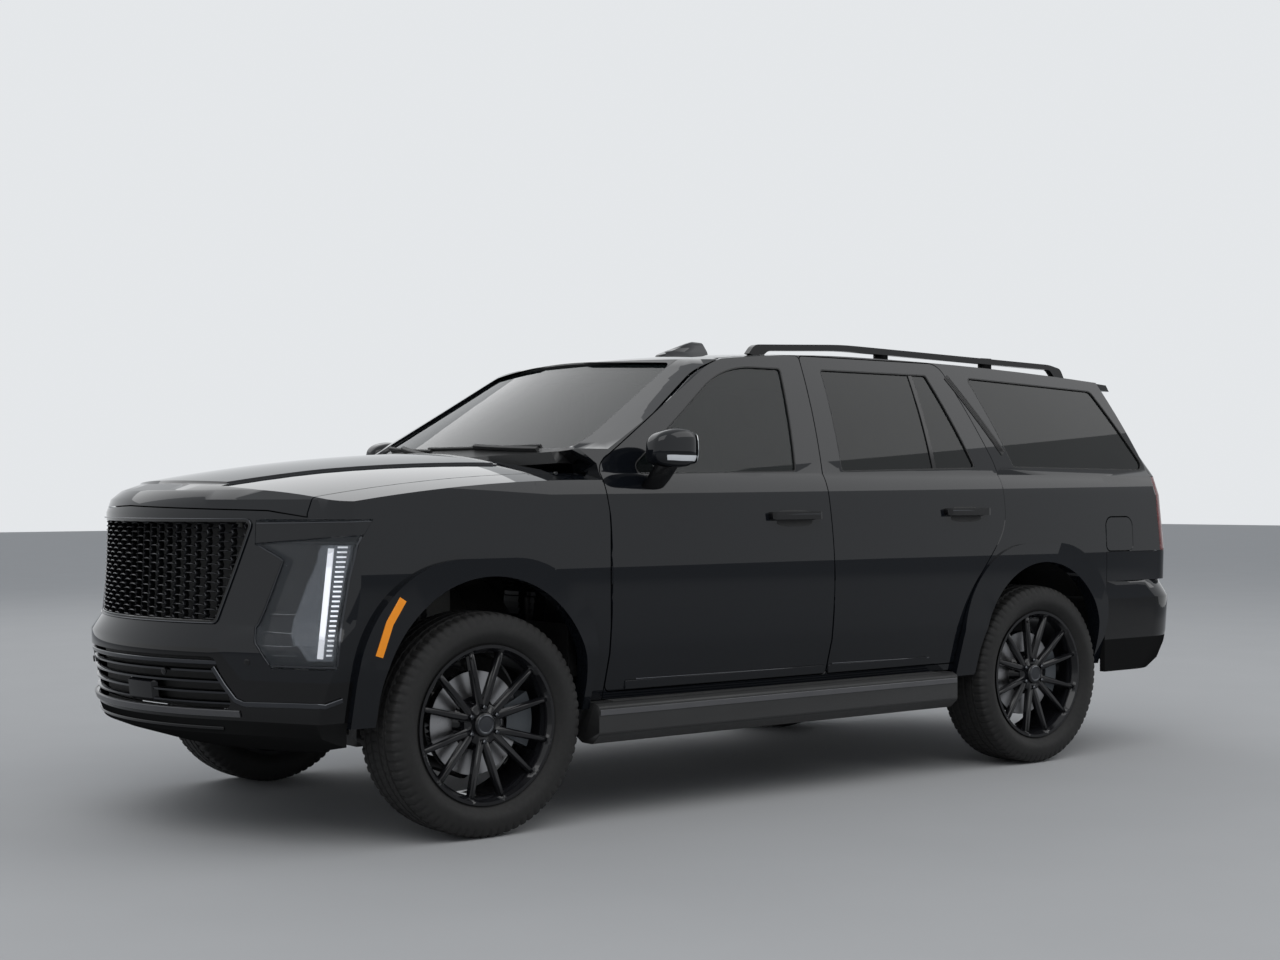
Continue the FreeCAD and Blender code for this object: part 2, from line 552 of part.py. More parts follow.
body_side = body_side.fuse(fin)
rear_low_cut = block(TAIL - 10, xr(S.arch_rear_reach + 1), 0, FAR, 0, 982)
roof_cut = plan_prism(xf(1000), xr(900), S.roof_half_width + gap, 1700, 2100)
cowl_cut = block(xf(700), xf(255), -790, 790, 1300, 1450)
FUEL_SWING_ROOM = 1.5
fuel_pocket = prism("xz", grown(fuel_wire, gap + FUEL_SWING_ROOM), 940, FAR / 2)
lamp_cut = block(TAIL, xr(905), 878, FAR, 980, 1347)
for cut in moulding_cuts + [arch_cut(REAR_AXLE, S.liner_radius + 2), roof_cut, screen_hole, gate_hole, cowl_cut,
                            rear_low_cut]:
    body_side = body_side.cut(cut)
tail_lamp = body_side.common(lamp_cut)
body_side = body_side.cut(lamp_cut)
add("body_side_right", mirrored(body_side), 1)
add("body_side_left", body_side.cut(fuel_pocket), 1)
add("tail_lamps", both(tail_lamp.cut(side_solid(70, 70).common(tail_solid(70)))))
quarter_glass = glass_skin.common(prism("xz", quarter_window_outline(), 1, FAR / 2))
add("quarter_glass", both(quarter_glass))
fuel_door = left_skin.common(prism("xz", grown(fuel_wire, -gap), 945, FAR / 2)).cut(side_solid(12, 12))
fuel_hinge_y = side_y(xr(473), 1067)
fuel_pin = Part.makeCylinder(S.hinge_pin_radius, 40, vec(xr(473), fuel_hinge_y, 1047), vec(0, 0, 1))
fuel_web = block(xr(473) - 8, xr(473), fuel_hinge_y - 3, fuel_hinge_y - 0.6, 1047, 1087)
fuel_door = fuel_door.multiFuse([fuel_pin, fuel_web])
add("fuel_door", fuel_door, 1)

# Roof panel with its aerial pod, windscreen, cowl
roof = skin.common(plan_prism(xf(1000), xr(S.gate_front) + gap, S.roof_half_width, 1700, 2100)).cut(screen_hole)
POD_HALF = 38
pod_top = S.overall_height
pod = prism("xz", outline("xz", [(xf(1580), pod_top - 85, 0), (xf(1590), pod_top - 66, 12), (xf(1770), pod_top, 45),
                                 (xf(1826), pod_top - 4, 16), (xf(1844), pod_top - 44, 12), (xf(1850), pod_top - 85, 0)]),
            -POD_HALF, POD_HALF)
pod = pod.common(prism("yz", outline("yz", [(-POD_HALF, pod_top - 85, 0), (-POD_HALF + 8, pod_top - 50, 30), (-14, pod_top, 14),
                                            (14, pod_top, 14), (POD_HALF - 8, pod_top - 50, 30), (POD_HALF, pod_top - 85, 0)]),
                       xf(1900), xf(1500)))
roof = roof.fuse(pod)
add("roof_panel", roof, 1)
windscreen = windscreen_front(14).cut(windscreen_front(9)).common(prism("yz", screen_wire, xf(1500), NOSE))
add("windscreen", windscreen, 1)
# A gutter under the hood's rear edge, which swings back over it as the hood rises
GUTTER_WIDTH, GUTTER_DEPTH = 50, 34
gutter = prism("xy", grown(hood_rear, S.shut_gap + 4 + GUTTER_WIDTH), 1250, 1600).cut(hood_solid(GUTTER_DEPTH))
cowl = skin.common(cowl_cut).cut(hood_plan_gap).cut(gutter).cut(windscreen)
add("cowl", cowl, 1)

# Tailgate
rear_window = outline("yz", [(-775, 1352, 60), (-640, 1775, 60), (640, 1775, 60), (775, 1352, 60)])
GATE_LIP, GATE_BEVEL = 8, 32
gate = skin.common(prism("yz", grown(gate_wire, -gap), TAIL - 100, xr(S.gate_front) - gap))
gate_sides = block(TAIL - 100, xr(S.gate_front) - gap, -FAR / 2, FAR / 2, 0, 1815).common(tail_solid(GATE_LIP))
gate_sides = gate_sides.cut(prism("yz", grown(gate_wire, -gap - GATE_BEVEL), TAIL - 200, xr(S.gate_front) + 50))
gate = gate.cut(gate_sides)
gate = gate.cut(prism("yz", rear_window, TAIL - 100, xr(450)))
spoiler = roof_solid(0).cut(roof_solid(30)).common(tail_solid(-118)).common(side_solid(0, 0))
spoiler_mid = spoiler.common(block(xr(1000), xr(S.gate_front) - gap, -687.5, 687.5, 0, FAR))
spoiler_ends = spoiler.common(block(xr(1000), xr(640), -760, 760, 0, FAR)).cut(tail_solid(-S.shut_gap))
gate = gate.multiFuse([spoiler_mid, spoiler_ends])
gate_pin = Part.makeCylinder(S.hinge_pin_radius, 280, vec(xr(S.gate_front), -140, S.gate_hinge_level), vec(0, 1, 0))
gate_web = block(xr(S.gate_front) - 12, xr(S.gate_front), -140, 140, S.gate_hinge_level - 4, S.gate_hinge_level - 0.5)
gate = gate.multiFuse([gate_pin, gate_web])
add("tailgate", gate, 1)
gate_glass = tail_solid(9).cut(tail_solid(14)).common(prism("yz", grown(rear_window, -S.seat_clearance),
                                                           TAIL - 100, xr(450)))
add("tailgate_glass", gate_glass, 1)

# Front end: one shell shared out between hood, fenders, lamps, grille and bumper
front_room = block(xf(S.front_door_front) + 5, NOSE + 100, -FAR, FAR, 0, FAR)
front_skin = side_solid(0, 0).common(hood_solid(0)).common(nose_solid(0)).common(front_room)
front_inner = side_solid(S.panel_thickness, S.panel_thickness).common(hood_solid(S.panel_thickness)).common(
    nose_solid(S.fascia_thickness))
hood_room = front_inner
front_shell = front_skin.cut(front_inner)
back_shelf = block(xf(600), NOSE, -FAR, FAR, 1700, 1800)
hood_face = outline("yz", [(-847.5, 1190, 0), (-700, 1213, 0), (0, 1230, 0), (700, 1213, 0), (847.5, 1190, 0),
                           (847.5, 1700, 0), (-847.5, 1700, 0)])
hood_face_gap = outline("yz", [(-852.5, 1185, 0), (-700, 1208, 0), (0, 1225, 0), (700, 1208, 0), (852.5, 1185, 0),
                               (852.5, 1700, 0), (-852.5, 1700, 0)])
hood_cut = prism("yz", hood_face_gap, xf(900), NOSE + 100)
hood = front_shell.common(prism("yz", hood_face, xf(900), NOSE + 100)).common(hood_plan)
dome_plan = outline("xy", [(xf(-1100), 352, 0), (xf(-420), 452, 900), (xf(245), 640, 0), (xf(245), -640, 0), (xf(-420), -452, 900),
                          (xf(-1100), -352, 0)])
dome_low = prism("xy", grown(dome_plan, 16), 1100, 1600)
dome_high = prism("xy", dome_plan, 1100, 1600)
dome_rise = hood_solid(-S.hood_dome_rise).cut(hood_solid(S.panel_thickness / 2)).common(dome_high)
dome_step = hood_solid(-S.hood_dome_rise / 2).cut(hood_solid(S.panel_thickness / 2)).common(dome_low)
hood = hood.multiFuse([piece.common(nose_solid(0)).common(hood_plan) for piece in (dome_rise, dome_step)])
hood_pin = Part.makeCylinder(8, S.shut_gap + 3, vec(xf(S.hood_hinge_station), 852.5 - S.seat_clearance,
                                                  S.hood_hinge_level), vec(0, -1, 0))
hood = hood.multiFuse([hood_pin, mirrored(hood_pin)])
add("hood", hood, 1)
body_front = front_shell.cut(hood_cut)

lamp_front = prism("yz", outline("yz", [(660, 1180, 0), (1100, 1180, 0), (1100, 655, 0), (770, 655, 0),
                                        (676, 797, 0), (702, 858, 0), (764, 1035, 0), (660, 1090, 0)]), 0, NOSE + 50)
lamp_side = prism("xz", outline("xz", [(xf(-484), 1180, 0), (xf(-543), 1097, 0), (xf(-577), 977, 0),
                                       (xf(-610), 788, 0), (xf(-620), 655, 0), (NOSE + 50, 655, 0),
                                       (NOSE + 50, 1180, 0)]), 0, FAR / 2)
lamp_hole = lamp_front.common(lamp_side)
LAMP_LENS_DEPTH = 8
lamp_space = side_solid(LAMP_LENS_DEPTH, LAMP_LENS_DEPTH).common(nose_solid(LAMP_LENS_DEPTH))
lamp_lens = side_solid(1, 1).common(nose_solid(3)).cut(lamp_space).common(lamp_hole)
lamp_back = side_solid(60, 60).common(nose_solid(70))
lamp_body = lamp_space.cut(lamp_back).common(lamp_hole)
pocket = side_solid(6, 6).common(nose_solid(6)).cut(side_solid(46, 46).common(nose_solid(52)))
LAMP_CELLS = [(672, 800), (812, 905), (917, 1022), (1034, 1130), (1140, 1172)]
cell_face = outline("yz", [(690, 1180, 0), (1100, 1180, 0), (1100, 655, 0), (790, 655, 0), (704, 797, 30), (728, 858, 0), (790, 1035, 30),
                           (690, 1110, 0)])
cells = pocket.common(prism("yz", cell_face, 0, NOSE + 50))
blade = prism("yz", outline("yz", [(935, 1120, 0), (949, 1120, 0), (912, 680, 0), (898, 680, 0)]), 0, NOSE + 50)
for low, high in LAMP_CELLS:
    cell = cells.common(block(0, NOSE + 50, 600, FAR, low, high))
    lamp_body = lamp_body.cut(cell.cut(blade))
grille_wire = outline("yz", [(-656, 1180, 25), (656, 1180, 25), (529, 806, 25), (-529, 806, 25)])
lower_wire = outline("yz", [(-560, 690, 30), (560, 690, 30), (619, 500, 30), (-619, 500, 30)])
grille_hole = prism("yz", grille_wire, xf(-600), NOSE + 50)
lower_hole = prism("yz", lower_wire, xf(-600), NOSE + 50)
grille_slab = nose_solid(14).cut(nose_solid(34))


def wing(y, z, half_width, half_height):
    """One opening of the grille: a flat six-sided cell."""
    tip = half_width * 0.82
    return prism("yz", outline("yz", [(y - half_width, z, 0), (y - tip, z + half_height, 0), (y + tip, z + half_height, 0),
                                      (y + half_width, z, 0), (y + tip, z - half_height, 0), (y - tip, z - half_height, 0)]),
                 NOSE - 400, NOSE)


GRILLE_LOW, GRILLE_HIGH, GRILLE_FRAME = 806, 1180, 16
row_pitch = (GRILLE_HIGH - GRILLE_LOW - 2 * GRILLE_FRAME) / S.grille_rows
grille_cells = []
for row in range(int(S.grille_rows)):
    z = GRILLE_LOW + GRILLE_FRAME + row_pitch * (row + 0.5)
    limit = 529 + (656 - 529) * (z - row_pitch / 2 - GRILLE_LOW) / (GRILLE_HIGH - GRILLE_LOW) - GRILLE_FRAME
    shift = S.grille_pitch / 2 if row % 2 else 0
    count = int(limit // S.grille_pitch) + 1
    for step in range(-count, count + 1):
        y = step * S.grille_pitch + shift
        if abs(y) + S.grille_pitch / 2 - 6 < limit:
            grille_cells.append(wing(y, z, S.grille_pitch / 2 - 6, row_pitch / 2 - 5))
lower_bars = [block(NOSE - 400, NOSE, -600, 600, z - 21, z + 3) for z in (540, 580, 620, 660)]
add("headlamps", both(lamp_body))
add("headlamp_lenses", both(lamp_lens))
upper_grille = grille_slab.common(grille_hole).cut(Part.makeCompound(grille_cells))
lower_frame = prism("yz", outline("yz", [(-546, 676, 20), (546, 676, 20), (600, 514, 20), (-600, 514, 20)]), xf(-600), NOSE + 50)
lower_grille = grille_slab.common(lower_hole)
for bar in lower_bars:
    lower_grille = lower_grille.cut(bar.common(lower_frame))
add("grille", upper_grille.fuse(lower_grille))

bumper_line = prism("xz", outline("xz", [
    (xf(-S.arch_front_reach) - 12, 300, 0), (xf(-S.arch_front_reach) - 12, 640, 0), (xf(-625), 652, 0),
    (xf(-640), 1095, 0), (xf(-640), 1400, 0), (NOSE + 60, 1400, 0), (NOSE + 60, 300, 0)]), -FAR / 2, FAR / 2)
left_lamp_cut = lamp_hole
lamps_cut = [left_lamp_cut, mirrored(left_lamp_cut)]
bumper = body_front.common(bumper_line)
fenders = body_front.cut(bumper_line)
for cut in lamps_cut + [grille_hole, lower_hole, moulding_cuts[0], mirrored(moulding_cuts[0])]:
    bumper = bumper.cut(cut)
for cut in lamps_cut + [moulding_cuts[0], mirrored(moulding_cuts[0])]:
    fenders = fenders.cut(cut)
fender_low = block(xf(1000), NOSE, -FAR, FAR, 0, S.sill_bottom_level)
fenders = fenders.cut(fender_low).cut(hood_plan.common(hood_cut))
for hole in (door_holes["front"], side_view):
    fenders = fenders.cut(hole).cut(mirrored(hole))
fender_left = fenders.common(left_half)
fender_left = max(fender_left.Solids, key=lambda s: s.Volume)
add("front_bumper", bumper, 1)
print("fender pieces", [round(s.Volume / 1e3) for s in fenders.Solids])

# Arch mouldings and the liners behind them
ring = []
liners = []
for axle, cut in zip(AXLES, moulding_cuts):
    opening = arch_cut(axle, S.arch_radius) if axle > 0 else arch_cut(axle, S.rear_arch_radius, 0, 0)
    band = arch_outline(axle, S.arch_foot, 0).cut(opening)
    band = band.common(side_solid(-28, -28)).cut(side_solid(40, 40)).common(block(-FAR, FAR, 900, HALF_WIDTH, 0, FAR))
    ring.append(band)
    liner = arch_cut(axle, S.liner_radius, 480).cut(arch_cut(axle, S.liner_radius - 6, 0))
    liner = liner.common(block(-FAR, FAR, 500, 905, 480, FAR)).common(side_solid(45, 45))
    liners.append(liner)
for band in list(ring):
    ring.append(mirrored(band))
add("arch_mouldings", Part.makeCompound(ring))
fender_left = fender_left.fuse(liners[0])
add("front_fenders", both(fender_left))

# Rear bumper
def bumper_plan(level, shift, depth):
    """The rear bumper seen from above: a bowed face, round corners and straight sides."""
    bow, r = S.bumper_bow_radius - depth, S.bumper_corner_radius - depth
    centre_y = S.bumper_half_width - S.bumper_corner_radius
    face_y = centre_y / (1 - r / bow)
    slope = math.asin(face_y / bow)
    tail = TAIL + shift + depth
    face_x = tail + bow - math.sqrt(bow ** 2 - face_y ** 2)
    centre_x = face_x + r * math.cos(slope)
    half = (math.pi / 2 + slope) / 2
    mid_x, mid_y, side = centre_x - r * math.cos(half), centre_y + r * math.sin(half), centre_y + r
    front = xr(S.arch_rear_reach + 2) + depth * 2
    p = [vec(front, -side, level), vec(centre_x, -side, level), vec(face_x, -face_y, level),
         vec(face_x, face_y, level), vec(centre_x, side, level), vec(front, side, level)]
    return Part.Wire([line(p[0], p[1]), arc(p[1], vec(mid_x, -mid_y, level), p[2]),
                      arc(p[2], vec(tail, 0, level), p[3]), arc(p[3], vec(mid_x, mid_y, level), p[4]),
                      line(p[4], p[5]), line(p[5], p[0])])


BUMPER_LEVELS = [(400, 170), (443, 90), (521, 36), (580, 17), (750, 0), (838, 84)]
rear_outer = Part.makeLoft([bumper_plan(level, shift, 0) for level, shift in BUMPER_LEVELS], True, True)
rear_inner = Part.makeLoft([bumper_plan(min(level, 812), shift, 30) for level, shift in BUMPER_LEVELS], True, True)
corner = side_solid(0, 0).cut(side_solid(40, 40)).fuse(tail_solid(0).cut(tail_solid(40)).common(
    side_solid(0, 0))).common(tail_solid(0)).common(side_solid(0, 0))
corner = corner.common(block(TAIL, xr(S.arch_rear_reach + 2), 879, FAR, 805, 979))
rear_bumper = rear_outer.cut(rear_inner).fuse(corner).fuse(mirrored(corner))
receiver_window = prism("yz", outline("yz", [(-80, S.receiver_level - 58, 20), (80, S.receiver_level - 58, 20),
                                             (80, S.receiver_level + 58, 20), (-80, S.receiver_level + 58, 20)]),
                        TAIL - 50, xr(1100))
for cut in (moulding_cuts[1], mirrored(moulding_cuts[1]), receiver_window):
    rear_bumper = rear_bumper.cut(cut)
add("rear_bumper", rear_bumper, 1)

# Wheels: tyre, rim with brake disc
def spin(profile, axle_x, y):
    """A solid turned about a wheel's axle from (distance out from the wheel's middle, radius) points."""
    pts = [vec(0, out, radius) for out, radius in profile]
    face = Part.Face(Part.makePolygon(pts + [pts[0]]))
    solid = face.revolve(vec(0, 0, 0), vec(0, 1, 0), 360)
    solid.translate(vec(axle_x, y, WHEEL_LEVEL))
    return solid


R_TYRE, HALF_TREAD, R_SEAT = S.tyre_diameter / 2, S.tyre_width / 2, S.rim_diameter / 2
HALF_RIM = S.rim_width / 2
TYRE = [(-HALF_RIM + 12, R_SEAT), (-HALF_RIM + 12, R_SEAT + 19), (-HALF_TREAD + 14, R_SEAT + 32),
        (-HALF_TREAD, R_SEAT + 78), (-HALF_TREAD + 5, R_TYRE - 28), (-HALF_TREAD + 26, R_TYRE - 6),
        (-HALF_TREAD + 70, R_TYRE), (HALF_TREAD - 70, R_TYRE), (HALF_TREAD - 26, R_TYRE - 6),
        (HALF_TREAD - 5, R_TYRE - 28), (HALF_TREAD, R_SEAT + 78), (HALF_TREAD - 14, R_SEAT + 32),
        (HALF_RIM - 12, R_SEAT + 19), (HALF_RIM - 12, R_SEAT), (HALF_RIM - 32, R_SEAT), (HALF_RIM - 30, R_SEAT + 16),
        (HALF_TREAD - 28, R_SEAT + 46), (HALF_TREAD - 15, R_SEAT + 80), (HALF_TREAD - 30, R_TYRE - 22),
        (-HALF_TREAD + 30, R_TYRE - 22), (-HALF_TREAD + 15, R_SEAT + 80), (-HALF_TREAD + 28, R_SEAT + 46),
        (-HALF_RIM + 30, R_SEAT + 16), (-HALF_RIM + 32, R_SEAT)]
BARREL = [(-HALF_RIM, R_SEAT + 16), (-HALF_RIM + 11.5, R_SEAT + 14), (-HALF_RIM + 11.5, R_SEAT),
          (HALF_RIM - 11.5, R_SEAT), (HALF_RIM - 11.5, R_SEAT + 14), (HALF_RIM, R_SEAT + 16),
          (HALF_RIM, R_SEAT + 4), (HALF_RIM - 30, R_SEAT - 14), (-HALF_RIM + 20, R_SEAT - 12), (-HALF_RIM, R_SEAT)]
HUB = [(S.rim_offset, 0), (S.rim_offset, S.hub_radius), (70, S.hub_radius), (78, S.hub_radius - 10), (78, 47), (92, 44),
       (95, 38), (95, 0)]
DISC = [(-18, 90), (-18, S.disc_radius), (16, S.disc_radius), (16, 88), (S.rim_offset, 88), (S.rim_offset, 0),
        (S.rim_offset - 12, 0), (S.rim_offset - 12, 76), (4, 76), (4, 90)]


SPOKE_FOOT_RADIUS, SPOKE_TIP_RADIUS = 58, S.rim_diameter / 2 - 4
SPOKE_FOOT_FRONT, SPOKE_TIP_FRONT, SPOKE_DEPTH = 80, 107, 30


def spoke_section(centre, along, front, half_width):
    """A spoke's cross section: a flat front narrower than its back, square to the spoke."""
    across = vec(-along.z, 0, along.x)
    pts = [(half_width, front - SPOKE_DEPTH), (half_width, front - 9), (half_width * 0.55, front), (-half_width * 0.55, front),
           (-half_width, front - 9), (-half_width, front - SPOKE_DEPTH)]
    ring = [centre + across * side + vec(0, out, 0) for side, out in pts]
    return Part.makePolygon(ring + [ring[0]])


def wheel_spokes():
    """Pairs of spokes that run out from each lug and part towards the rim."""
    made = []
    for pair in range(int(S.spoke_pairs)):
        for side in (-1, 1):
            middle = math.radians(360 / S.spoke_pairs * pair + 90)
            foot, tip = middle + math.radians(7) * side, middle + math.radians(14) * side
            a = vec(SPOKE_FOOT_RADIUS * math.cos(foot), 0, SPOKE_FOOT_RADIUS * math.sin(foot))
            b = vec(SPOKE_TIP_RADIUS * math.cos(tip), 0, SPOKE_TIP_RADIUS * math.sin(tip))
            along = b - a
            along.normalize()
            made.append(Part.makeLoft([spoke_section(a, along, SPOKE_FOOT_FRONT, 15),
                                       spoke_section(b, along, SPOKE_TIP_FRONT, 11)], True, True))
    return made


spokes = wheel_spokes()
rim_local = spin(BARREL, 0, 0)
rim_local.translate(vec(0, 0, -WHEEL_LEVEL))
hub_local = spin(HUB, 0, 0)
hub_local.translate(vec(0, 0, -WHEEL_LEVEL))
disc_local = spin(DISC, 0, 0)
disc_local.translate(vec(0, 0, -WHEEL_LEVEL))
rim_left = rim_local.multiFuse([hub_local, disc_local] + spokes)
rim_left = rim_left.cut(Part.makeCylinder(S.spindle_radius + S.seat_clearance, 90, vec(0, -30, 0), vec(0, 1, 0)))
tyre_left = spin(TYRE, 0, 0)
tyre_left.translate(vec(0, 0, -WHEEL_LEVEL))
WHEELS = {"front_left": (FRONT_AXLE, 1), "front_right": (FRONT_AXLE, -1), "rear_left": (REAR_AXLE, 1),
          "rear_right": (REAR_AXLE, -1)}
for corner_name, (axle, side) in WHEELS.items():
    for kind, local in (("tyre", tyre_left), ("rim", rim_left)):
        piece = local.copy()
        if side < 0:
            piece = mirrored(piece)
        piece.translate(vec(axle, side * WHEEL_Y, WHEEL_LEVEL))
        add(f"{kind}_{corner_name}", piece, 1)

# Front knuckles with their calipers: they turn about the kingpin
kx, ky, kz = FRONT_AXLE, S.kingpin_half_width, WHEEL_LEVEL
knuckle = Part.makeCylinder(58, 90, vec(kx, 752, kz), vec(0, 1, 0))
upright = prism("xz", outline("xz", [(kx - 45, kz - 150, 15), (kx - 60, kz, 30), (kx - 30, kz + 175, 15),
                                     (kx + 30, kz + 175, 15), (kx + 60, kz, 30), (kx + 45, kz - 150, 15)]), 775, 825)
steer_arm = tube([(kx - 30, 790, kz - 60), (kx - 165, 745, kz - 60)], 18)
stub = Part.makeCylinder(S.spindle_radius, WHEEL_Y + 56 - 800, vec(kx, 800, kz), vec(0, 1, 0))
caliper = Part.makeCylinder(243, 104, vec(kx, 813, kz), vec(0, 1, 0)).cut(
    Part.makeCylinder(120, 104, vec(kx, 813, kz), vec(0, 1, 0)))
caliper = caliper.cut(Part.makeCylinder(S.disc_radius + 6, 46, vec(kx, WHEEL_Y - 24, kz), vec(0, 1, 0)))
wedge = prism("xz", outline("xz", [(kx, kz, 0), (kx - 400, kz - 190, 0), (kx - 400, kz + 190, 0)]), 780, 905)
caliper = caliper.common(wedge).cut(Part.makeCylinder(130, 200, vec(kx, 860, kz), vec(0, 1, 0)))
caliper_link = block(kx - 215, kx - 20, 800, 824, kz - 45, kz + 45)
knuckle_left = knuckle.multiFuse([upright, steer_arm, caliper, caliper_link])
knuckle_left = knuckle_left.cut(Part.makeCylinder(S.disc_radius + 5, 60, vec(kx, WHEEL_Y - 24, kz), vec(0, 1, 0)))
knuckle_left = knuckle_left.fuse(stub)
add("knuckle_left", knuckle_left, 1)
add("knuckle_right", mirrored(knuckle_left), 1)

# Ladder frame
RAIL = [(xf(-860), 560), (xf(250), 560), (xf(560), 480), (xr(-620), 480), (xr(-330), 640), (xr(520), 640),
        (xr(1090), 560)]
h = S.rail_height / 2
rail_wire = outline("xz", [(x, z - h, 0) for x, z in RAIL] + [(x, z + h, 0) for x, z in reversed(RAIL)])
y0, y1 = S.rail_half_spacing - S.rail_width / 2, S.rail_half_spacing + S.rail_width / 2
rail = prism("xz", rail_wire, y0, y1)
CROSS = [(xf(-800), 560), (xf(420), 500), (xf(1100), 470), (xf(1900), 470), (xr(-560), 500), (xr(330), 650),
         (xr(1040), 575)]
cross = [block(x - 30, x + 30, -y0 - 5, y0 + 5, z - 35, z + 35) for x, z in CROSS]
frame = rail.multiFuse([mirrored(rail)] + cross)
receiver_front, receiver_mouth = xr(1070), xr(S.receiver_reach)
outer_half, inner_half = S.receiver_outside / 2, S.receiver_bore / 2
receiver = block(receiver_mouth, receiver_front, -outer_half, outer_half, S.receiver_level - outer_half,
                 S.receiver_level + outer_half)
receiver = receiver.cut(block(receiver_mouth - 10, receiver_front + 1, -inner_half, inner_half,
                              S.receiver_level - inner_half, S.receiver_level + inner_half))
pin_hole = Part.makeCylinder(S.receiver_pin_radius, 2 * outer_half + 2,
                             vec(receiver_mouth + S.receiver_pin_setback, -outer_half - 1, S.receiver_level), vec(0, 1, 0))
receiver = receiver.cut(pin_hole)
add("ladder_frame", frame, 1)
add("hitch_receiver", receiver, 1)

# Power train
engine = block(xf(-430), xf(270), -280, 280, 640, 1160)
engine = engine.makeChamfer(60, [e for e in engine.Edges if e.Length > 600])
add("engine", engine, 1)
gearbox = Part.makeCone(190, 120, 650, vec(xf(255), 0, 740), vec(-1, 0, -0.24))
propshaft = tube([(xf(900), 0, 555), (xr(-130), 0, 420)], 42)
rear_diff = Part.makeSphere(150, vec(REAR_AXLE, 0, WHEEL_LEVEL))
rear_reach = WHEEL_Y + 56
rear_shafts = Part.makeCylinder(S.spindle_radius, 2 * rear_reach, vec(REAR_AXLE, -rear_reach, WHEEL_LEVEL), vec(0, 1, 0))
front_diff = Part.makeSphere(105, vec(FRONT_AXLE, 0, WHEEL_LEVEL))
front_shafts = Part.makeCylinder(24, 1300, vec(FRONT_AXLE, -650, WHEEL_LEVEL), vec(0, 1, 0))
front_prop = tube([(xf(60), 60, 420), (xf(860), 150, 520)], 26)
transfer = block(xf(980), xf(820), -130, 230, 450, 600)
driveline = gearbox.multiFuse([propshaft, rear_diff, rear_shafts, front_diff, front_shafts, front_prop, transfer])
driveline = driveline.cut(frame).cut(engine)
add("driveline", driveline, 1)
exhaust = tube([(xf(700), -250, 440), (xf(1400), -250, 400), (xf(1500), -250, 390)], 34)
muffler = Part.makeCylinder(95, 560, vec(xf(1500), -260, 385), vec(-1, 0, 0))
tail_pipe = tube([(xf(2060), -260, 385), (xr(-420), -300, 400), (xr(-300), -340, 520), (xr(300), -340, 520),
                  (xr(520), -560, 430), (xr(960), -600, 415)], 32)
exhaust = exhaust.multiFuse([muffler, tail_pipe]).cut(frame).cut(driveline)
add("exhaust", exhaust, 1)
tank = block(xf(2400), xf(1350), 462, 780, 330, 545)
tank = tank.makeFillet(40, [e for e in tank.Edges if e.Length > 1000])
add("fuel_tank", tank, 1)
spare = Part.makeCylinder(360, 210, vec(xr(690), 0, 322), vec(0, 0, 1)).cut(
    Part.makeCylinder(215, 150, vec(xr(690), 0, 322), vec(0, 0, 1)))
add("spare_wheel", spare.cut(exhaust), 1)

# Suspension
def arm(points, radius):
    return tube(points, radius)


front_links = []
lower, upper = (kx, ky, kz - 195), (kx, ky, kz + 212)
BALL_PIN_RADIUS = 13
front_links.append(Part.makeCylinder(BALL_PIN_RADIUS, 45 - S.seat_clearance, vec(*lower), vec(0, 0, 1)))
front_links.append(Part.makeCylinder(BALL_PIN_RADIUS, 37 - S.seat_clearance, vec(*upper), vec(0, 0, -1)))
for dx in (-230, 230):
    front_links.append(arm([(kx + dx, 430, 330), lower], 24))
    front_links.append(arm([(kx + dx * 0.6, 440, kz + 235), upper], 18))
front_links.append(arm([(kx + 60, 615, kz - 130), (kx + 60, 545, 900)], 46))
front_links.append(block(kx + 10, kx + 110, 500, 620, 880, 930))
front_links.append(block(kx - 250, kx - 210, 380, 440, 300, 495))
front_links.append(block(kx + 210, kx + 250, 380, 440, 300, 495))
front_links.append(block(kx - 160, kx + 160, 455, 475, 600, 660))
front_links.append(block(kx - 250, kx + 250, -400, 400, 300, 340))
front_susp_left = front_links[0].multiFuse(front_links[1:])
rack = Part.makeCylinder(26, 1240, vec(kx - 165, -620, kz - 60), vec(0, 1, 0))
front_susp = front_susp_left.multiFuse([mirrored(front_susp_left), rack]).cut(frame).cut(driveline).cut(engine)
add("front_suspension", front_susp, 1)
rear_links = []
rx = REAR_AXLE
carrier = Part.makeCylinder(62, 80, vec(rx, 750, kz), vec(0, 1, 0)).fuse(block(rx - 40, rx + 40, 765, 815, kz - 170,
                                                                             kz + 190))
for dx in (-200, 200):
    rear_links.append(arm([(rx + dx, 420, 340), (rx, 780, kz - 150)], 26))
    rear_links.append(arm([(rx + dx * 0.7, 470, 620), (rx, 775, kz + 170)], 18))
rear_links.append(block(rx - 240, rx + 240, 320, 380, 300, 500))
rear_links.append(arm([(rx + 90, 600, 330), (rx + 90, 560, 700)], 62))
rear_links.append(arm([(rx - 110, 640, 330), (rx - 110, 580, 780)], 30))
rear_cross = block(rx - 230, rx + 230, -340, 340, 300, 340)
rear_susp_left = carrier.multiFuse(rear_links)
rear_susp = rear_susp_left.multiFuse([mirrored(rear_susp_left), rear_cross]).cut(frame).cut(driveline).cut(exhaust)
add("rear_suspension", rear_susp, 1)

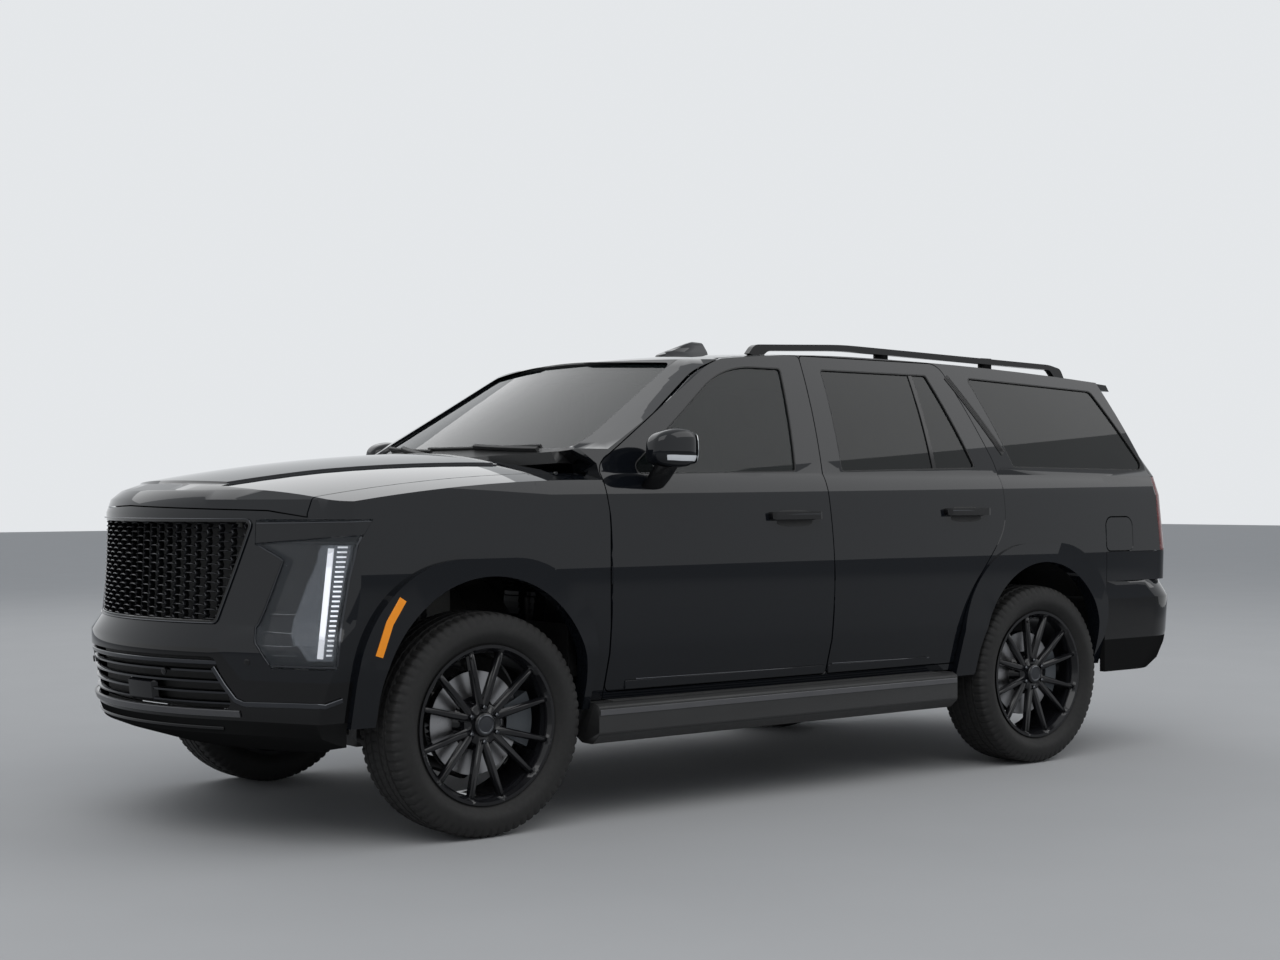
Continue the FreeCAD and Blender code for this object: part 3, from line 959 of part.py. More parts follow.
# Floor, bulkhead and wheel houses
FT = S.floor_thickness
floor = block(xr(-430), xf(430), -880, 880, S.floor_level, S.floor_level + FT)
floor = floor.fuse(block(xr(-430), xr(-390), -880, 880, S.floor_level, S.rear_floor_level + FT))
floor = floor.fuse(block(xr(950), xr(-430), -880, 880, S.rear_floor_level, S.rear_floor_level + FT))
floor = floor.fuse(block(xf(470), xf(430), -880, 880, S.floor_level, 1330))
tunnel = prism("yz", outline("yz", [(-172, 540, 0), (-165, 790, 60), (165, 790, 60), (172, 540, 0)]), xf(1300), xf(420))
tunnel_in = prism("yz", outline("yz", [(-158, 500, 0), (-150, 775, 50), (150, 775, 50), (158, 500, 0)]), xf(1290),
                  xf(410))
floor = floor.fuse(tunnel).cut(tunnel_in)
house = arch_cut(REAR_AXLE, S.liner_radius, 480).cut(arch_cut(REAR_AXLE, S.liner_radius - 8, 0))
house = house.common(block(-FAR, FAR, 520, 905, 480, FAR)).common(side_solid(45, 45))
house_wall = arch_cut(REAR_AXLE, S.liner_radius, 715).common(block(-FAR, FAR, 512, 520, 0, FAR))
wheel_well = arch_cut(REAR_AXLE, S.liner_radius, 0).common(block(-FAR, FAR, 520, FAR, 0, FAR))
floor = floor.cut(wheel_well).cut(mirrored(wheel_well))
floor = floor.multiFuse([house, mirrored(house), house_wall, mirrored(house_wall)])
floor = floor.cut(nodes["body_side_left"].Shape).cut(nodes["body_side_right"].Shape)
floor = floor.common(side_solid(8, 8)).cut(nodes["tailgate"].Shape)
door_room = side_solid(0, 0).cut(side_solid(frame_depth - 10, 80)).common(
    block(xr(-330), xf(500), -FAR, FAR, 0, FAR))
floor = floor.cut(door_room).cut(frame).cut(nodes["fuel_tank"].Shape)
floor = floor.cut(front_susp).cut(rear_susp).cut(driveline).cut(nodes["front_fenders"].Shape)
add("floor_pan", floor, 1)

# Engine bay front: radiator and its panel
radiator = block(xf(-790), xf(-730), -400, 400, 640, 1150)
support = block(xf(-780), xf(-720), -560, 560, 1150, 1195)
legs = block(xf(-775), xf(-735), 400, 470, 500, 1150)
beam = block(xf(-880), xf(-840), -400, 400, 500, 600)
radiator = radiator.multiFuse([support, legs, mirrored(legs), beam]).cut(frame)
add("radiator", radiator, 1)

# Running boards and roof rails
board_wire = outline("yz", [(870, 330, 20), (860, 440, 20), (880, 466, 10), (1000, 466, 30), (S.board_half_width - 8,
                            452, 12), (S.board_half_width - 8, 345, 20), (985, 306, 30), (915, 306, 30)])
board = prism("yz", board_wire, xf(2465), xf(472))
brackets = [block(x - 25, x + 25, 460, 900, 425, 455) for x in (xf(700), xf(1300), xf(2430))]
board = board.multiFuse(brackets).cut(frame).cut(tank).cut(front_susp)
for band in ring[:2]:
    board = board.cut(band)
add("running_boards", both(board))
rail_path = outline("xz", [(xf(1491), 1868, 0), (xf(1525), 1908, 50), (xf(2042), 1931, 2500), (xr(380), 1899, 300),
                           (xr(465), 1882, 40), (xr(505), 1815, 0), (xr(445), 1815, 0), (xr(385), 1874, 30),
                           (xf(2042), 1903, 2500), (xf(1600), 1884, 60), (xf(1560), 1850, 0)])
roof_rail = prism("xz", rail_path, 700, 732)
rail_feet = [block(x - 35, x + 35, 704, 728, 1850, 1912) for x in (xf(2300), xf(3000))]
roof_rail = roof_rail.multiFuse(rail_feet).cut(roof_solid(0)).removeSplitter()
add("roof_rails", both(max(roof_rail.Solids, key=lambda s: s.Volume)))

# Cabin fittings
dash = prism("xz", outline("xz", [(xf(475), 900, 0), (xf(475), 1320, 30), (xf(620), 1345, 60), (xf(820), 1300, 60),
                                  (xf(880), 1180, 50), (xf(800), 950, 50), (xf(650), 880, 40)]), -770, 770)
console = block(xf(1560), xf(700), -150, 150, 792, 1000)
console = console.makeFillet(30, [e for e in console.Edges if e.BoundBox.ZMin > 990])
dash = dash.fuse(console).cut(nodes["body_side_left"].Shape).cut(nodes["body_side_right"].Shape).cut(floor)
dash = dash.cut(windscreen_front(0)).cut(nodes["cowl"].Shape).cut(windscreen)
hub_at = vec(xf(985), 385, 1205)
column_turn = FreeCAD.Rotation(vec(0, 1, 0), -math.degrees(math.atan2(0.92, 0.39)))
column_down = column_turn.multVec(vec(0, 0, -1))
dash = dash.cut(Part.makeCylinder(20 + S.seat_clearance, 300, hub_at, column_down))
add("dashboard", dash, 1)


def seat(front_x, y, width, base, height, rest=True):
    """A seat seen from the side, swept across its width, with a head restraint."""
    side = outline("xz", [(front_x, base + 150, 40), (front_x, base + 290, 60), (front_x - 440, base + 270, 60),
                          (front_x - 560, base + height, 60), (front_x - 690, base + height - 10, 50),
                          (front_x - 600, base + 220, 60), (front_x - 560, base + 130, 40)])
    body = prism("xz", side, y - width / 2, y + width / 2)
    foot = block(front_x - 520, front_x - 60, y - width / 2 + 60, y + width / 2 - 60, base, base + 160)
    parts = [foot]
    for centre in ([y] if width < 700 else [y - width / 4 - 60, y + width / 4 + 60]):
        head = block(front_x - 680, front_x - 600, centre - 130, centre + 130, base + height + 40, base + height + 190)
        head = head.makeFillet(28, head.Edges)
        posts = [block(front_x - 650, front_x - 636, centre + d - 8, centre + d + 8, base + height - 40,
                       base + height + 80) for d in (-60, 60)]
        parts += [head] + posts
    return body.multiFuse(parts)


front_seat = seat(xf(1100), 435, 500, 600, 780)
add("front_seats", both(front_seat))
middle_seat = seat(xf(1955), 430, 520, 600, 760)
add("middle_seats", both(middle_seat))
rear_seat = seat(xr(-330), 0, 1000, 760, 640).cut(floor)
add("rear_seats", rear_seat, 1)

# Steering wheel and column
wheel_ring = Part.makeTorus(176, 15, vec(0, 0, 0), vec(0, 0, 1))
boss = Part.makeCylinder(62, 40, vec(0, 0, -36), vec(0, 0, 1))
arms = [Part.makeBox(140, 34, 16, vec(35, -17, -20)), Part.makeBox(140, 34, 16, vec(-175, -17, -20))]
down = Part.makeBox(34, 140, 16, vec(-17, -175, -20))
shaft = Part.makeCylinder(20, 200, vec(0, 0, -230), vec(0, 0, 1))
steering = wheel_ring.multiFuse([boss, down, shaft] + arms)
steering.Placement = FreeCAD.Placement(hub_at, column_turn)
add("steering_wheel", steering, 1)

doc.recompute()
for item in doc.Objects:
    if "Invalid" in item.State or "Error" in item.State:
        raise RuntimeError(f"{item.Name} didn't compute: {item.State}")
for name, feature in nodes.items():
    if feature.Shape.isNull() or not feature.Shape.isValid():
        raise RuntimeError(f"{name} has no valid shape")
for name, feature in nodes.items():
    feature.Shape.exportStep(f"parts/{name}.step")
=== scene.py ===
"""Looks of the full-size sport utility vehicle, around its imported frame.

Metres, +X forward, +Y to the vehicle's left, +Z up; the origin is on the ground below the middle.
"""
import json
import math

import bmesh
import bpy
import numpy as np
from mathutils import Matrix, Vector

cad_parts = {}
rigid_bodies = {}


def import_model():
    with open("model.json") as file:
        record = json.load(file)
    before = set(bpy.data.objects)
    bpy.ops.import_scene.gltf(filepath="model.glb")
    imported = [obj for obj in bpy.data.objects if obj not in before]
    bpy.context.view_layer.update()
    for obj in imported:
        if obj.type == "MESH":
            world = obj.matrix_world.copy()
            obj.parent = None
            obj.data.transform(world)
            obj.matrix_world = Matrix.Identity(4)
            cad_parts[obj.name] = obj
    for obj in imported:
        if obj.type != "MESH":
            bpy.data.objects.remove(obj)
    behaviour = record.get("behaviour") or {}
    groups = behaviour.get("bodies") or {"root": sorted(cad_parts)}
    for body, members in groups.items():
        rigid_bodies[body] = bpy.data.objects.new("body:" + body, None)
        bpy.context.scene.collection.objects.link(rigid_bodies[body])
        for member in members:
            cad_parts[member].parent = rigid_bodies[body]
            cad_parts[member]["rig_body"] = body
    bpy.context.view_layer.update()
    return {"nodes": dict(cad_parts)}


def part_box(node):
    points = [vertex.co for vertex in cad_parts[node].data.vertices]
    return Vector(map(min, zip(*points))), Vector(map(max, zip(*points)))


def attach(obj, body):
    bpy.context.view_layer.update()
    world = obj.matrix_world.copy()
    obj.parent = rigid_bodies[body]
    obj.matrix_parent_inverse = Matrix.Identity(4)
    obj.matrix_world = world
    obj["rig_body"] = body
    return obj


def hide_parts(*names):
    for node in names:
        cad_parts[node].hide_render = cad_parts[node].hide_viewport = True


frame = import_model()

# Driving dimensions, as in the part's source
FRONT_AXLE, REAR_AXLE, NOSE = 1.651, -1.420, 2.691
WHEEL_Y, WHEEL_Z = 0.8685, 0.4165
TYRE_R, TYRE_HALF = 0.4165, 0.1375
SIDES = {"left": 1, "right": -1}


def xf(station):
    """A station in metres measured back from the front axle."""
    return FRONT_AXLE - station


def xr(station):
    """A station in metres measured back from the rear axle."""
    return REAR_AXLE - station


# Body surfaces
def circle(a, b, c):
    """Centre and radius of the circle through three points of a plane."""
    (ax, ay), (bx, by), (cx, cy) = a, b, c
    twice = 2 * (ax * (by - cy) + bx * (cy - ay) + cx * (ay - by))
    far_a, far_b, far_c = ax * ax + ay * ay, bx * bx + by * by, cx * cx + cy * cy
    u = (far_a * (by - cy) + far_b * (cy - ay) + far_c * (ay - by)) / twice
    v = (far_a * (cx - bx) + far_b * (ax - cx) + far_c * (bx - ax)) / twice
    return u, v, math.hypot(ax - u, ay - v)


SILL, SKIRT, BULGE, CREASE = (0.942, 0.430), (1.005, 0.650), (1.017, 0.760), (1.004, 1.256)
BELT, GLASS_MID, CANT = (0.968, 1.352), (0.888, 1.660), (0.748, 2.000)
SHOULDER = ((CREASE[0] + BELT[0]) / 2 + 0.006, (CREASE[1] + BELT[1]) / 2)
SIDE_BOW, WIDEST = 100.0, xf(1.750)
SIDE_ARCS = [circle(SKIRT, BULGE, CREASE), circle(CREASE, SHOULDER, BELT), circle(BELT, GLASS_MID, CANT)]


def side_y(x, z, out=0.0):
    """Half width of the body: the section's line or arc at that level, swept on a far arc about the widest place."""
    z = np.asarray(z, float)
    arcs = [u + np.sqrt(np.maximum(r * r - (z - v) ** 2, 0)) for u, v, r in SIDE_ARCS]
    skirt = SILL[0] + (z - SILL[1]) * (SKIRT[0] - SILL[0]) / (SKIRT[1] - SILL[1])
    below = [z < SILL[1], z < SKIRT[1], z < CREASE[1], z < BELT[1]]
    section = np.select(below, [SILL[0], skirt, arcs[0], arcs[1]], arcs[2])
    hub = BULGE[0] - SIDE_BOW
    return hub + np.sqrt((section + out - hub) ** 2 - (np.asarray(x) - WIDEST) ** 2)


NOSE_LEVELS = np.array([(0.330, -0.230), (0.385, -0.060), (0.410, 0), (0.500, 0.032), (0.690, 0.050), (0.745, 0.050),
                        (0.805, 0.005), (1.000, -0.005), (1.200, -0.012), (1.250, -0.030), (1.285, -0.075),
                        (1.310, -0.150), (1.500, -0.320)])
NOSE_BOW, NOSE_BOW_HALF, NOSE_CORNER, NOSE_HALF = 1.131, 0.545, 0.200, 1.010


def nose_x(y, z, depth=0.0):
    """The nose: a bowed middle, straight cheeks and round corners, standing forward by what its level gives."""
    y = np.abs(y)
    tip = NOSE - 0.050 + np.interp(z, NOSE_LEVELS[:, 0], NOSE_LEVELS[:, 1]) - depth
    lean = math.asin(NOSE_BOW_HALF / NOSE_BOW)
    cheek = tip - NOSE_BOW * (1 - math.cos(lean))
    r, side = NOSE_CORNER - depth, NOSE_HALF - depth
    corner_y = side - r + r * math.sin(lean)
    corner_x = cheek - (corner_y - NOSE_BOW_HALF) * math.tan(lean) - r * math.cos(lean)
    bow = tip - NOSE_BOW + np.sqrt(NOSE_BOW ** 2 - np.minimum(y, NOSE_BOW_HALF) ** 2)
    straight = cheek - (y - NOSE_BOW_HALF) * math.tan(lean)
    corner = corner_x + np.sqrt(np.maximum(r * r - np.clip(y - side + r, 0, r) ** 2, 0))
    return np.select([y < NOSE_BOW_HALF, y < corner_y], [bow, straight], corner)


def domed_z(x, y, level, station, bow, crown):
    """A crown arc across the vehicle, turned about a far axis below so that it bows along it too."""
    spin = bow - crown + np.sqrt(np.maximum(crown ** 2 - np.square(y), 0))
    return level - bow + np.sqrt(np.maximum(spin ** 2 - np.square(np.asarray(x) - station), 0))


HOOD_X, HOOD_Z, HOOD_BOW = circle((xf(0.330), 1.433), (xf(-0.305), 1.391), (xf(-0.940), 1.292))
HOOD_CROWN, ROOF_PEAK, ROOF_TOP, ROOF_CROWN, ROOF_FRONT_BOW, ROOF_REAR_BOW = 4.250, xf(2.000), 1.908, 8.800, 7.200, 26.700


def hood_z(x, y):
    return domed_z(x, y, HOOD_Z + HOOD_BOW, HOOD_X, HOOD_BOW, HOOD_CROWN)


def roof_z(x, y):
    """The roof falls faster ahead of its peak than behind it."""
    front, rear = (domed_z(x, y, ROOF_TOP, ROOF_PEAK, bow, ROOF_CROWN) for bow in (ROOF_FRONT_BOW, ROOF_REAR_BOW))
    return np.where(np.asarray(x) > ROOF_PEAK, front, rear)


TAIL_PROFILE = np.array([(0, 0.060), (0.820, 0.005), (1.000, 0), (1.338, 0.030), (1.862, 0.423), (2.010, 0.540)])
TAIL_BOW, GATE_TAIL = 4.000, xr(1.129)


def tail_x(y, z):
    """The gate's surface: a profile turned about a far upright axis ahead of it."""
    ahead = np.interp(z, TAIL_PROFILE[:, 0], TAIL_PROFILE[:, 1])
    return GATE_TAIL + TAIL_BOW - np.sqrt((TAIL_BOW - ahead) ** 2 - np.square(y))


def side_gap(p):
    return np.abs(p[:, 1]) - side_y(p[:, 0], p[:, 2])


def nose_gap(p):
    return p[:, 0] - nose_x(np.minimum(np.abs(p[:, 1]), NOSE_HALF), p[:, 2])


def hood_gap(p):
    return p[:, 2] - hood_z(p[:, 0], p[:, 1])


def roof_gap(p):
    return p[:, 2] - roof_z(p[:, 0], p[:, 1])


def tail_gap(p):
    return tail_x(p[:, 1], p[:, 2]) - p[:, 0]


SURFACES = (side_gap, nose_gap, hood_gap, roof_gap, tail_gap)
NEAR_SKIN, ALONG_SKIN, SKIN_STEP = 0.016, 0.985, 0.0005


def rise_of(gap, points):
    """How much a surface formula changes from one small step back to one on, along each axis."""
    return np.stack([gap(points + step) - gap(points - step) for step in np.eye(3) * SKIN_STEP], axis=1)


def true_normals(mesh):
    """Corners of faces that lie along one of the body's formulas shade by its slope, not by the facets."""
    count = len(mesh.loops)
    corner, points = np.empty(count * 3, np.float32), np.empty(len(mesh.vertices) * 3, np.float32)
    mesh.corner_normals.foreach_get("vector", corner)
    mesh.vertices.foreach_get("co", points)
    vertex = np.empty(count, np.int32)
    mesh.loops.foreach_get("vertex_index", vertex)
    faces = np.repeat(np.arange(len(mesh.polygons)), [p.loop_total for p in mesh.polygons])
    flat = np.empty(len(mesh.polygons) * 3, np.float32)
    mesh.polygons.foreach_get("normal", flat)
    corner = corner.reshape(-1, 3)
    place, facing = points.reshape(-1, 3).astype(float)[vertex], flat.reshape(-1, 3)[faces]
    best = np.full(count, ALONG_SKIN)
    for gap in SURFACES:
        distance = gap(place)
        slope = rise_of(gap, place)
        length = np.linalg.norm(slope, axis=1)
        slope = slope / np.maximum(length, 1e-9)[:, None]
        along = np.einsum("ij,ij->i", slope, facing)
        fits = (np.abs(distance) * 2 * SKIN_STEP / np.maximum(length, 1e-9) < NEAR_SKIN) & (along > best)
        corner[fits] = slope[fits]
        best[fits] = along[fits]
    mesh.normals_split_custom_set(corner.tolist())


# Materials
class Value:
    """A number that varies over the surface; its operators add Math nodes."""

    def __init__(self, finish, socket):
        self.finish, self.socket = finish, socket

    def math(self, operation, a, b=None):
        given = {0: a} if b is None else {0: a, 1: b}
        return self.finish.value("ShaderNodeMath", {"operation": operation}, given, 0)

    def __sub__(self, other):
        return self.math("SUBTRACT", self, other)

    def __rsub__(self, other):
        return self.math("SUBTRACT", other, self)

    def __mul__(self, other):
        return self.math("MULTIPLY", self, other)

    __rmul__ = __mul__

    def __truediv__(self, other):
        return self.math("DIVIDE", self, other)

    def size(self):
        return self.math("ABSOLUTE", self)

    def wave(self):
        return self.math("SINE", self)

    def over(self, edge, soft):
        """0 below the edge, 1 above it, with a soft step between."""
        return self.finish.value("ShaderNodeMapRange", {"interpolation_type": "SMOOTHSTEP"},
                                 {"Value": self - edge, "From Min": -soft, "From Max": soft}, "Result")

    def to(self, low, high):
        """A factor mapped from 0..1 to low..high."""
        return self.finish.value("ShaderNodeMapRange", {}, {"Value": self, "To Min": low, "To Max": high}, "Result")


class Finish:
    """One material: its Principled shader, and one call for every other node."""

    def __init__(self, name, **fixed):
        self.material = bpy.data.materials.new(name)
        self.material.use_nodes = True
        self.tree = self.material.node_tree
        self.shader = self.tree.nodes["Principled BSDF"]
        self.give(**fixed)
        self.place = self.node("ShaderNodeTexCoord", {}, {}).outputs["Object"]

    def node(self, kind, settings, sockets):
        """Adds a node: its settings first, then the values or links of its sockets."""
        made = self.tree.nodes.new(kind)
        for key, value in settings.items():
            setattr(made, key, value)
        for key, value in sockets.items():
            self.feed(made.inputs[key], value)
        return made

    def feed(self, socket, value):
        source = value.socket if isinstance(value, Value) else value
        if isinstance(source, bpy.types.NodeSocket):
            self.tree.links.new(source, socket)
        else:
            socket.default_value = source

    def value(self, kind, settings, sockets, output):
        return Value(self, self.node(kind, settings, sockets).outputs[output])

    def give(self, **sockets):
        for key, value in sockets.items():
            self.feed(self.shader.inputs[key.replace("_", " ")], value)
        return self

    def axes(self):
        """The place's three coordinates."""
        made = self.node("ShaderNodeSeparateXYZ", {}, {0: self.place})
        return [Value(self, made.outputs[axis]) for axis in "XYZ"]

    def noise(self, scale, detail=3.0):
        return self.value("ShaderNodeTexNoise", {}, {"Vector": self.place, "Scale": scale, "Detail": detail}, "Fac")

    def cells(self, scale):
        return self.value("ShaderNodeTexVoronoi", {}, {"Vector": self.place, "Scale": scale}, "Distance")

    def mix(self, share, a, b):
        """A colour between two, each a tuple or a link."""
        made = self.node("ShaderNodeMix", {"data_type": "RGBA"}, {})
        for key, kind, value in (("Factor", "VALUE", share), ("A", "RGBA", a), ("B", "RGBA", b)):
            socket = next(s for s in made.inputs if s.name == key and s.type == kind)
            self.feed(socket, (*value, 1) if isinstance(value, tuple) else value)
        return next(s for s in made.outputs if s.type == "RGBA")

    def bump(self, height, strength, distance):
        sockets = {"Height": height, "Strength": strength, "Distance": distance}
        return self.node("ShaderNodeBump", {}, sockets).outputs[0]


def grey(value):
    return (value, value, value)


def scaled(colour, share):
    return tuple(min(c * share, 1) for c in colour)


PAINT_DARK, PAINT_LIGHT = (0.0040, 0.0048, 0.0065), (0.0075, 0.0088, 0.0115)
BLACK_TRIM = (0.0035, 0.0035, 0.0040)


def body_paint(name):
    """Black paint with fine flakes under a clear coat, a trace of orange peel in the coat."""
    f = Finish(name, Specular_IOR_Level=0.0, Coat_Weight=1.0, Coat_Roughness=0.015, Coat_IOR=1.42)
    flakes = f.noise(2400.0, 1.0)
    f.give(Base_Color=f.mix(flakes, PAINT_DARK, PAINT_LIGHT), Normal=f.bump(f.noise(170.0, 1.0), 0.012, 0.0004),
           Roughness=flakes.to(0.38, 0.52))
    return f


def glossy(name, colour, rough=0.10):
    """Smooth moulded black with faint waves and wiping marks."""
    f = Finish(name, Specular_IOR_Level=0.4)
    f.give(Base_Color=f.mix(f.noise(8.0), colour, scaled(colour, 1.5)),
           Roughness=f.noise(60.0).to(rough * 0.8, rough * 1.5), Normal=f.bump(f.noise(240.0), 0.02, 0.0003))
    return f


def moulded(name, value, rough, grain=900.0, depth=0.22):
    """Moulded plastic with a fine grain."""
    f = Finish(name)
    f.give(Base_Color=f.mix(f.noise(6.0), grey(value * 0.85), grey(value * 1.2)),
           Roughness=f.noise(35.0).to(rough - 0.06, rough + 0.08),
           Normal=f.bump(f.noise(grain, 2.0), depth, 0.0004))
    return f


def metal(name, colour, rough, metallic=1.0):
    """Metal with faint clouds in its colour and its shine."""
    f = Finish(name, Metallic=metallic)
    f.give(Base_Color=f.mix(f.noise(14.0), scaled(colour, 0.82), colour),
           Roughness=f.noise(90.0, 4.0).to(rough * 0.75, rough * 1.3), Normal=f.bump(f.noise(400.0), 0.08, 0.0003))
    return f


def sheet_glass(name, tint, alpha):
    """Tinted sheet glass: dark, glossy and partly clear, with faint dust."""
    f = Finish(name, IOR=1.5, Specular_IOR_Level=0.3)
    dust = f.noise(5.0, 5.0)
    f.give(Base_Color=f.mix(dust, tint, scaled(tint, 1.8)), Roughness=dust.to(0.006, 0.03),
           Alpha=dust.to(alpha - 0.015, alpha + 0.015))
    f.material.surface_render_method = "BLENDED"
    return f


def lens(name, tint, alpha, ribs=0.0):
    """A moulded lens, ribbed on its inner face where ribs is above 0."""
    f = Finish(name, IOR=1.49)
    z = f.axes()[2]
    f.give(Base_Color=f.mix(f.noise(25.0), tint, scaled(tint, 1.3)), Roughness=f.noise(50.0).to(0.015, 0.05),
           Alpha=f.noise(9.0).to(alpha - 0.02, alpha + 0.02), Normal=f.bump((z * 420.0).wave(), 0.02 + ribs, 0.0006))
    f.material.surface_render_method = "BLENDED"
    return f


def tyre_rubber():
    f = Finish("tyre_rubber", Specular_IOR_Level=0.3)
    f.give(Base_Color=f.mix(f.noise(8.0, 4.0), grey(0.012), (0.026, 0.025, 0.024)),
           Roughness=f.noise(70.0).to(0.60, 0.85), Normal=f.bump(f.noise(700.0), 0.25, 0.0004))
    return f


def leather():
    """Dark hide: small pebbles, softer sheen where it is worn."""
    f = Finish("seat_leather")
    f.give(Base_Color=f.mix(f.noise(5.0), (0.016, 0.014, 0.013), (0.028, 0.025, 0.024)),
           Roughness=f.noise(12.0).to(0.36, 0.56), Normal=f.bump(f.cells(420.0), 0.3, 0.0005))
    return f


def glow(name, colour, strength, rough=0.2):
    """A lit or pale lens that gives off a little of its own colour."""
    f = Finish(name, Emission_Strength=strength)
    shade = f.mix(f.noise(30.0), scaled(colour, 0.9), colour)
    f.give(Base_Color=shade, Emission_Color=shade, Roughness=f.noise(60.0).to(rough, rough * 1.5))
    return f


# Levels of the bumpers' colours: body colour above a line, gloss black under it, and a grained valance below. In front
# the line drops from the shelf to the cheek beside the lower grille.
SHELF_LEVEL, CHEEK_LEVEL, SHELF_HALF, CHEEK_HALF, VALANCE_LEVEL = 0.720, 0.610, 0.573, 0.659, 0.462
REAR_SHELF_LEVEL, REAR_VALANCE_LEVEL = 0.752, 0.555


def two_tone(f, z, line, valance):
    """Body paint above the line, gloss black below it, grained plastic below the valance's level."""
    body_share, trim_share = z.over(line, 0.0012), z.over(valance, 0.001)
    flakes, grain = f.noise(2400.0, 1.0), f.noise(900.0, 2.0)
    trim = f.mix(trim_share, grey(0.013), BLACK_TRIM)
    return f.give(Base_Color=f.mix(body_share, trim, f.mix(flakes, PAINT_DARK, PAINT_LIGHT)),
                  Coat_Weight=trim_share * 1.0, Roughness=0.5 - trim_share * 0.15,
                  Normal=f.bump(grain * (1 - trim_share), 0.22, 0.0004))


def bumper_finish():
    f = body_paint("bumper_paint")
    x, y, z = f.axes()
    drop = (y.size() - SHELF_HALF) / (CHEEK_HALF - SHELF_HALF)
    return two_tone(f, z, drop.to(SHELF_LEVEL, CHEEK_LEVEL), VALANCE_LEVEL)


def rear_bumper_finish():
    f = body_paint("rear_bumper_paint")
    return two_tone(f, f.axes()[2], REAR_SHELF_LEVEL, REAR_VALANCE_LEVEL)


FINISHES = {
    "paint": body_paint("black_metallic_paint"), "front_bumper": bumper_finish(), "rear_bumper": rear_bumper_finish(),
    "gloss": glossy("gloss_black_trim", BLACK_TRIM),
    "grille": metal("dark_chrome_grille", (0.055, 0.056, 0.060), 0.22, 0.9),
    "clad": moulded("satin_black_cladding", 0.016, 0.45),
    "rubber": moulded("black_rubber_seal", 0.009, 0.6), "inside": moulded("cabin_plastic", 0.016, 0.55, 500.0, 0.35),
    "headliner": moulded("headliner_cloth", 0.30, 0.9, 1500.0, 0.5),
    "frame": moulded("chassis_black", 0.014, 0.5, 300.0, 0.3), "tyre": tyre_rubber(),
    "rim": glossy("gloss_black_alloy", (0.006, 0.006, 0.007), 0.12),
    "steel": metal("bare_steel", (0.30, 0.29, 0.28), 0.42),
    "disc": metal("brake_disc_steel", (0.36, 0.36, 0.37), 0.30),
    "cast": metal("cast_aluminium", (0.30, 0.30, 0.29), 0.5),
    "caliper": metal("grey_caliper", (0.10, 0.11, 0.12), 0.45, 0.3),
    "bright": metal("bright_trim", (0.62, 0.63, 0.64), 0.12),
    "dark_bright": metal("dark_bright_trim", (0.075, 0.078, 0.085), 0.16),
    "strip": metal("satin_grey_strip", (0.13, 0.13, 0.135), 0.32, 0.8),
    "glass": sheet_glass("clear_tinted_glass", (0.006, 0.008, 0.008), 0.80),
    "dark_glass": sheet_glass("privacy_glass", (0.003, 0.004, 0.004), 0.95),
    "lens": lens("clear_lamp_lens", (0.10, 0.11, 0.12), 0.16),
    "red_lens": lens("red_lamp_lens", (0.13, 0.004, 0.005), 0.80, 0.1),
    "smoked": glossy("smoked_lamp_panel", (0.004, 0.004, 0.005), 0.08),
    "crystal": lens("crystal_block", (0.30, 0.32, 0.35), 0.45, 0.2),
    "clear_lens": glow("clear_turn_lens", (0.62, 0.64, 0.66), 0.10, 0.1),
    "amber": glow("amber_marker", (0.80, 0.26, 0.01), 0.25),
    "blade": glow("white_light_blade", (0.88, 0.90, 0.95), 0.55),
    "red_glow": glow("red_lamp_bar", (0.42, 0.01, 0.01), 0.25), "leather": leather(),
    "screen": glossy("display_glass", (0.004, 0.005, 0.007), 0.06),
    "mirror_glass": metal("silvered_mirror", (0.75, 0.77, 0.78), 0.03),
    "plate": moulded("blank_plate", 0.55, 0.4),
}

# The finish of each node, by the longest name that the node's own name starts with
NODE_LOOKS = {
    "body_side": "paint", "roof_panel": "paint", "hood": "paint", "front_fenders": "paint", "tailgate": "paint",
    "front_door": "paint", "rear_door": "paint", "fuel_door": "paint", "arch_mouldings": "paint",
    "front_bumper": "front_bumper", "rear_bumper": "rear_bumper", "windscreen": "glass", "front_door_glass": "glass",
    "rear_door_glass": "dark_glass", "tailgate_glass": "dark_glass", "quarter_glass": "dark_glass",
    "front_handle": "gloss", "rear_handle": "gloss", "roof_rails": "gloss", "cowl": "clad", "running_boards": "clad",
    "headlamp_lenses": "lens", "tail_lamps": "red_lens", "rim": "rim", "spare_wheel": "tyre", "knuckle": "caliper",
    "ladder_frame": "frame", "hitch_receiver": "frame", "front_suspension": "frame", "rear_suspension": "frame",
    "floor_pan": "frame", "engine": "cast", "radiator": "cast", "driveline": "steel", "exhaust": "steel",
    "fuel_tank": "inside", "dashboard": "inside", "steering_wheel": "leather",
}
SKIN_NODES = ("body_side", "roof_panel", "hood", "front_fenders", "front_bumper", "tailgate", "front_door", "rear_door",
              "fuel_door", "quarter_glass", "tail_lamps", "headlamp_lenses", "arch_mouldings")


def look_of(node):
    best = max((key for key in NODE_LOOKS if node.startswith(key)), key=len)
    return FINISHES[NODE_LOOKS[best]].material


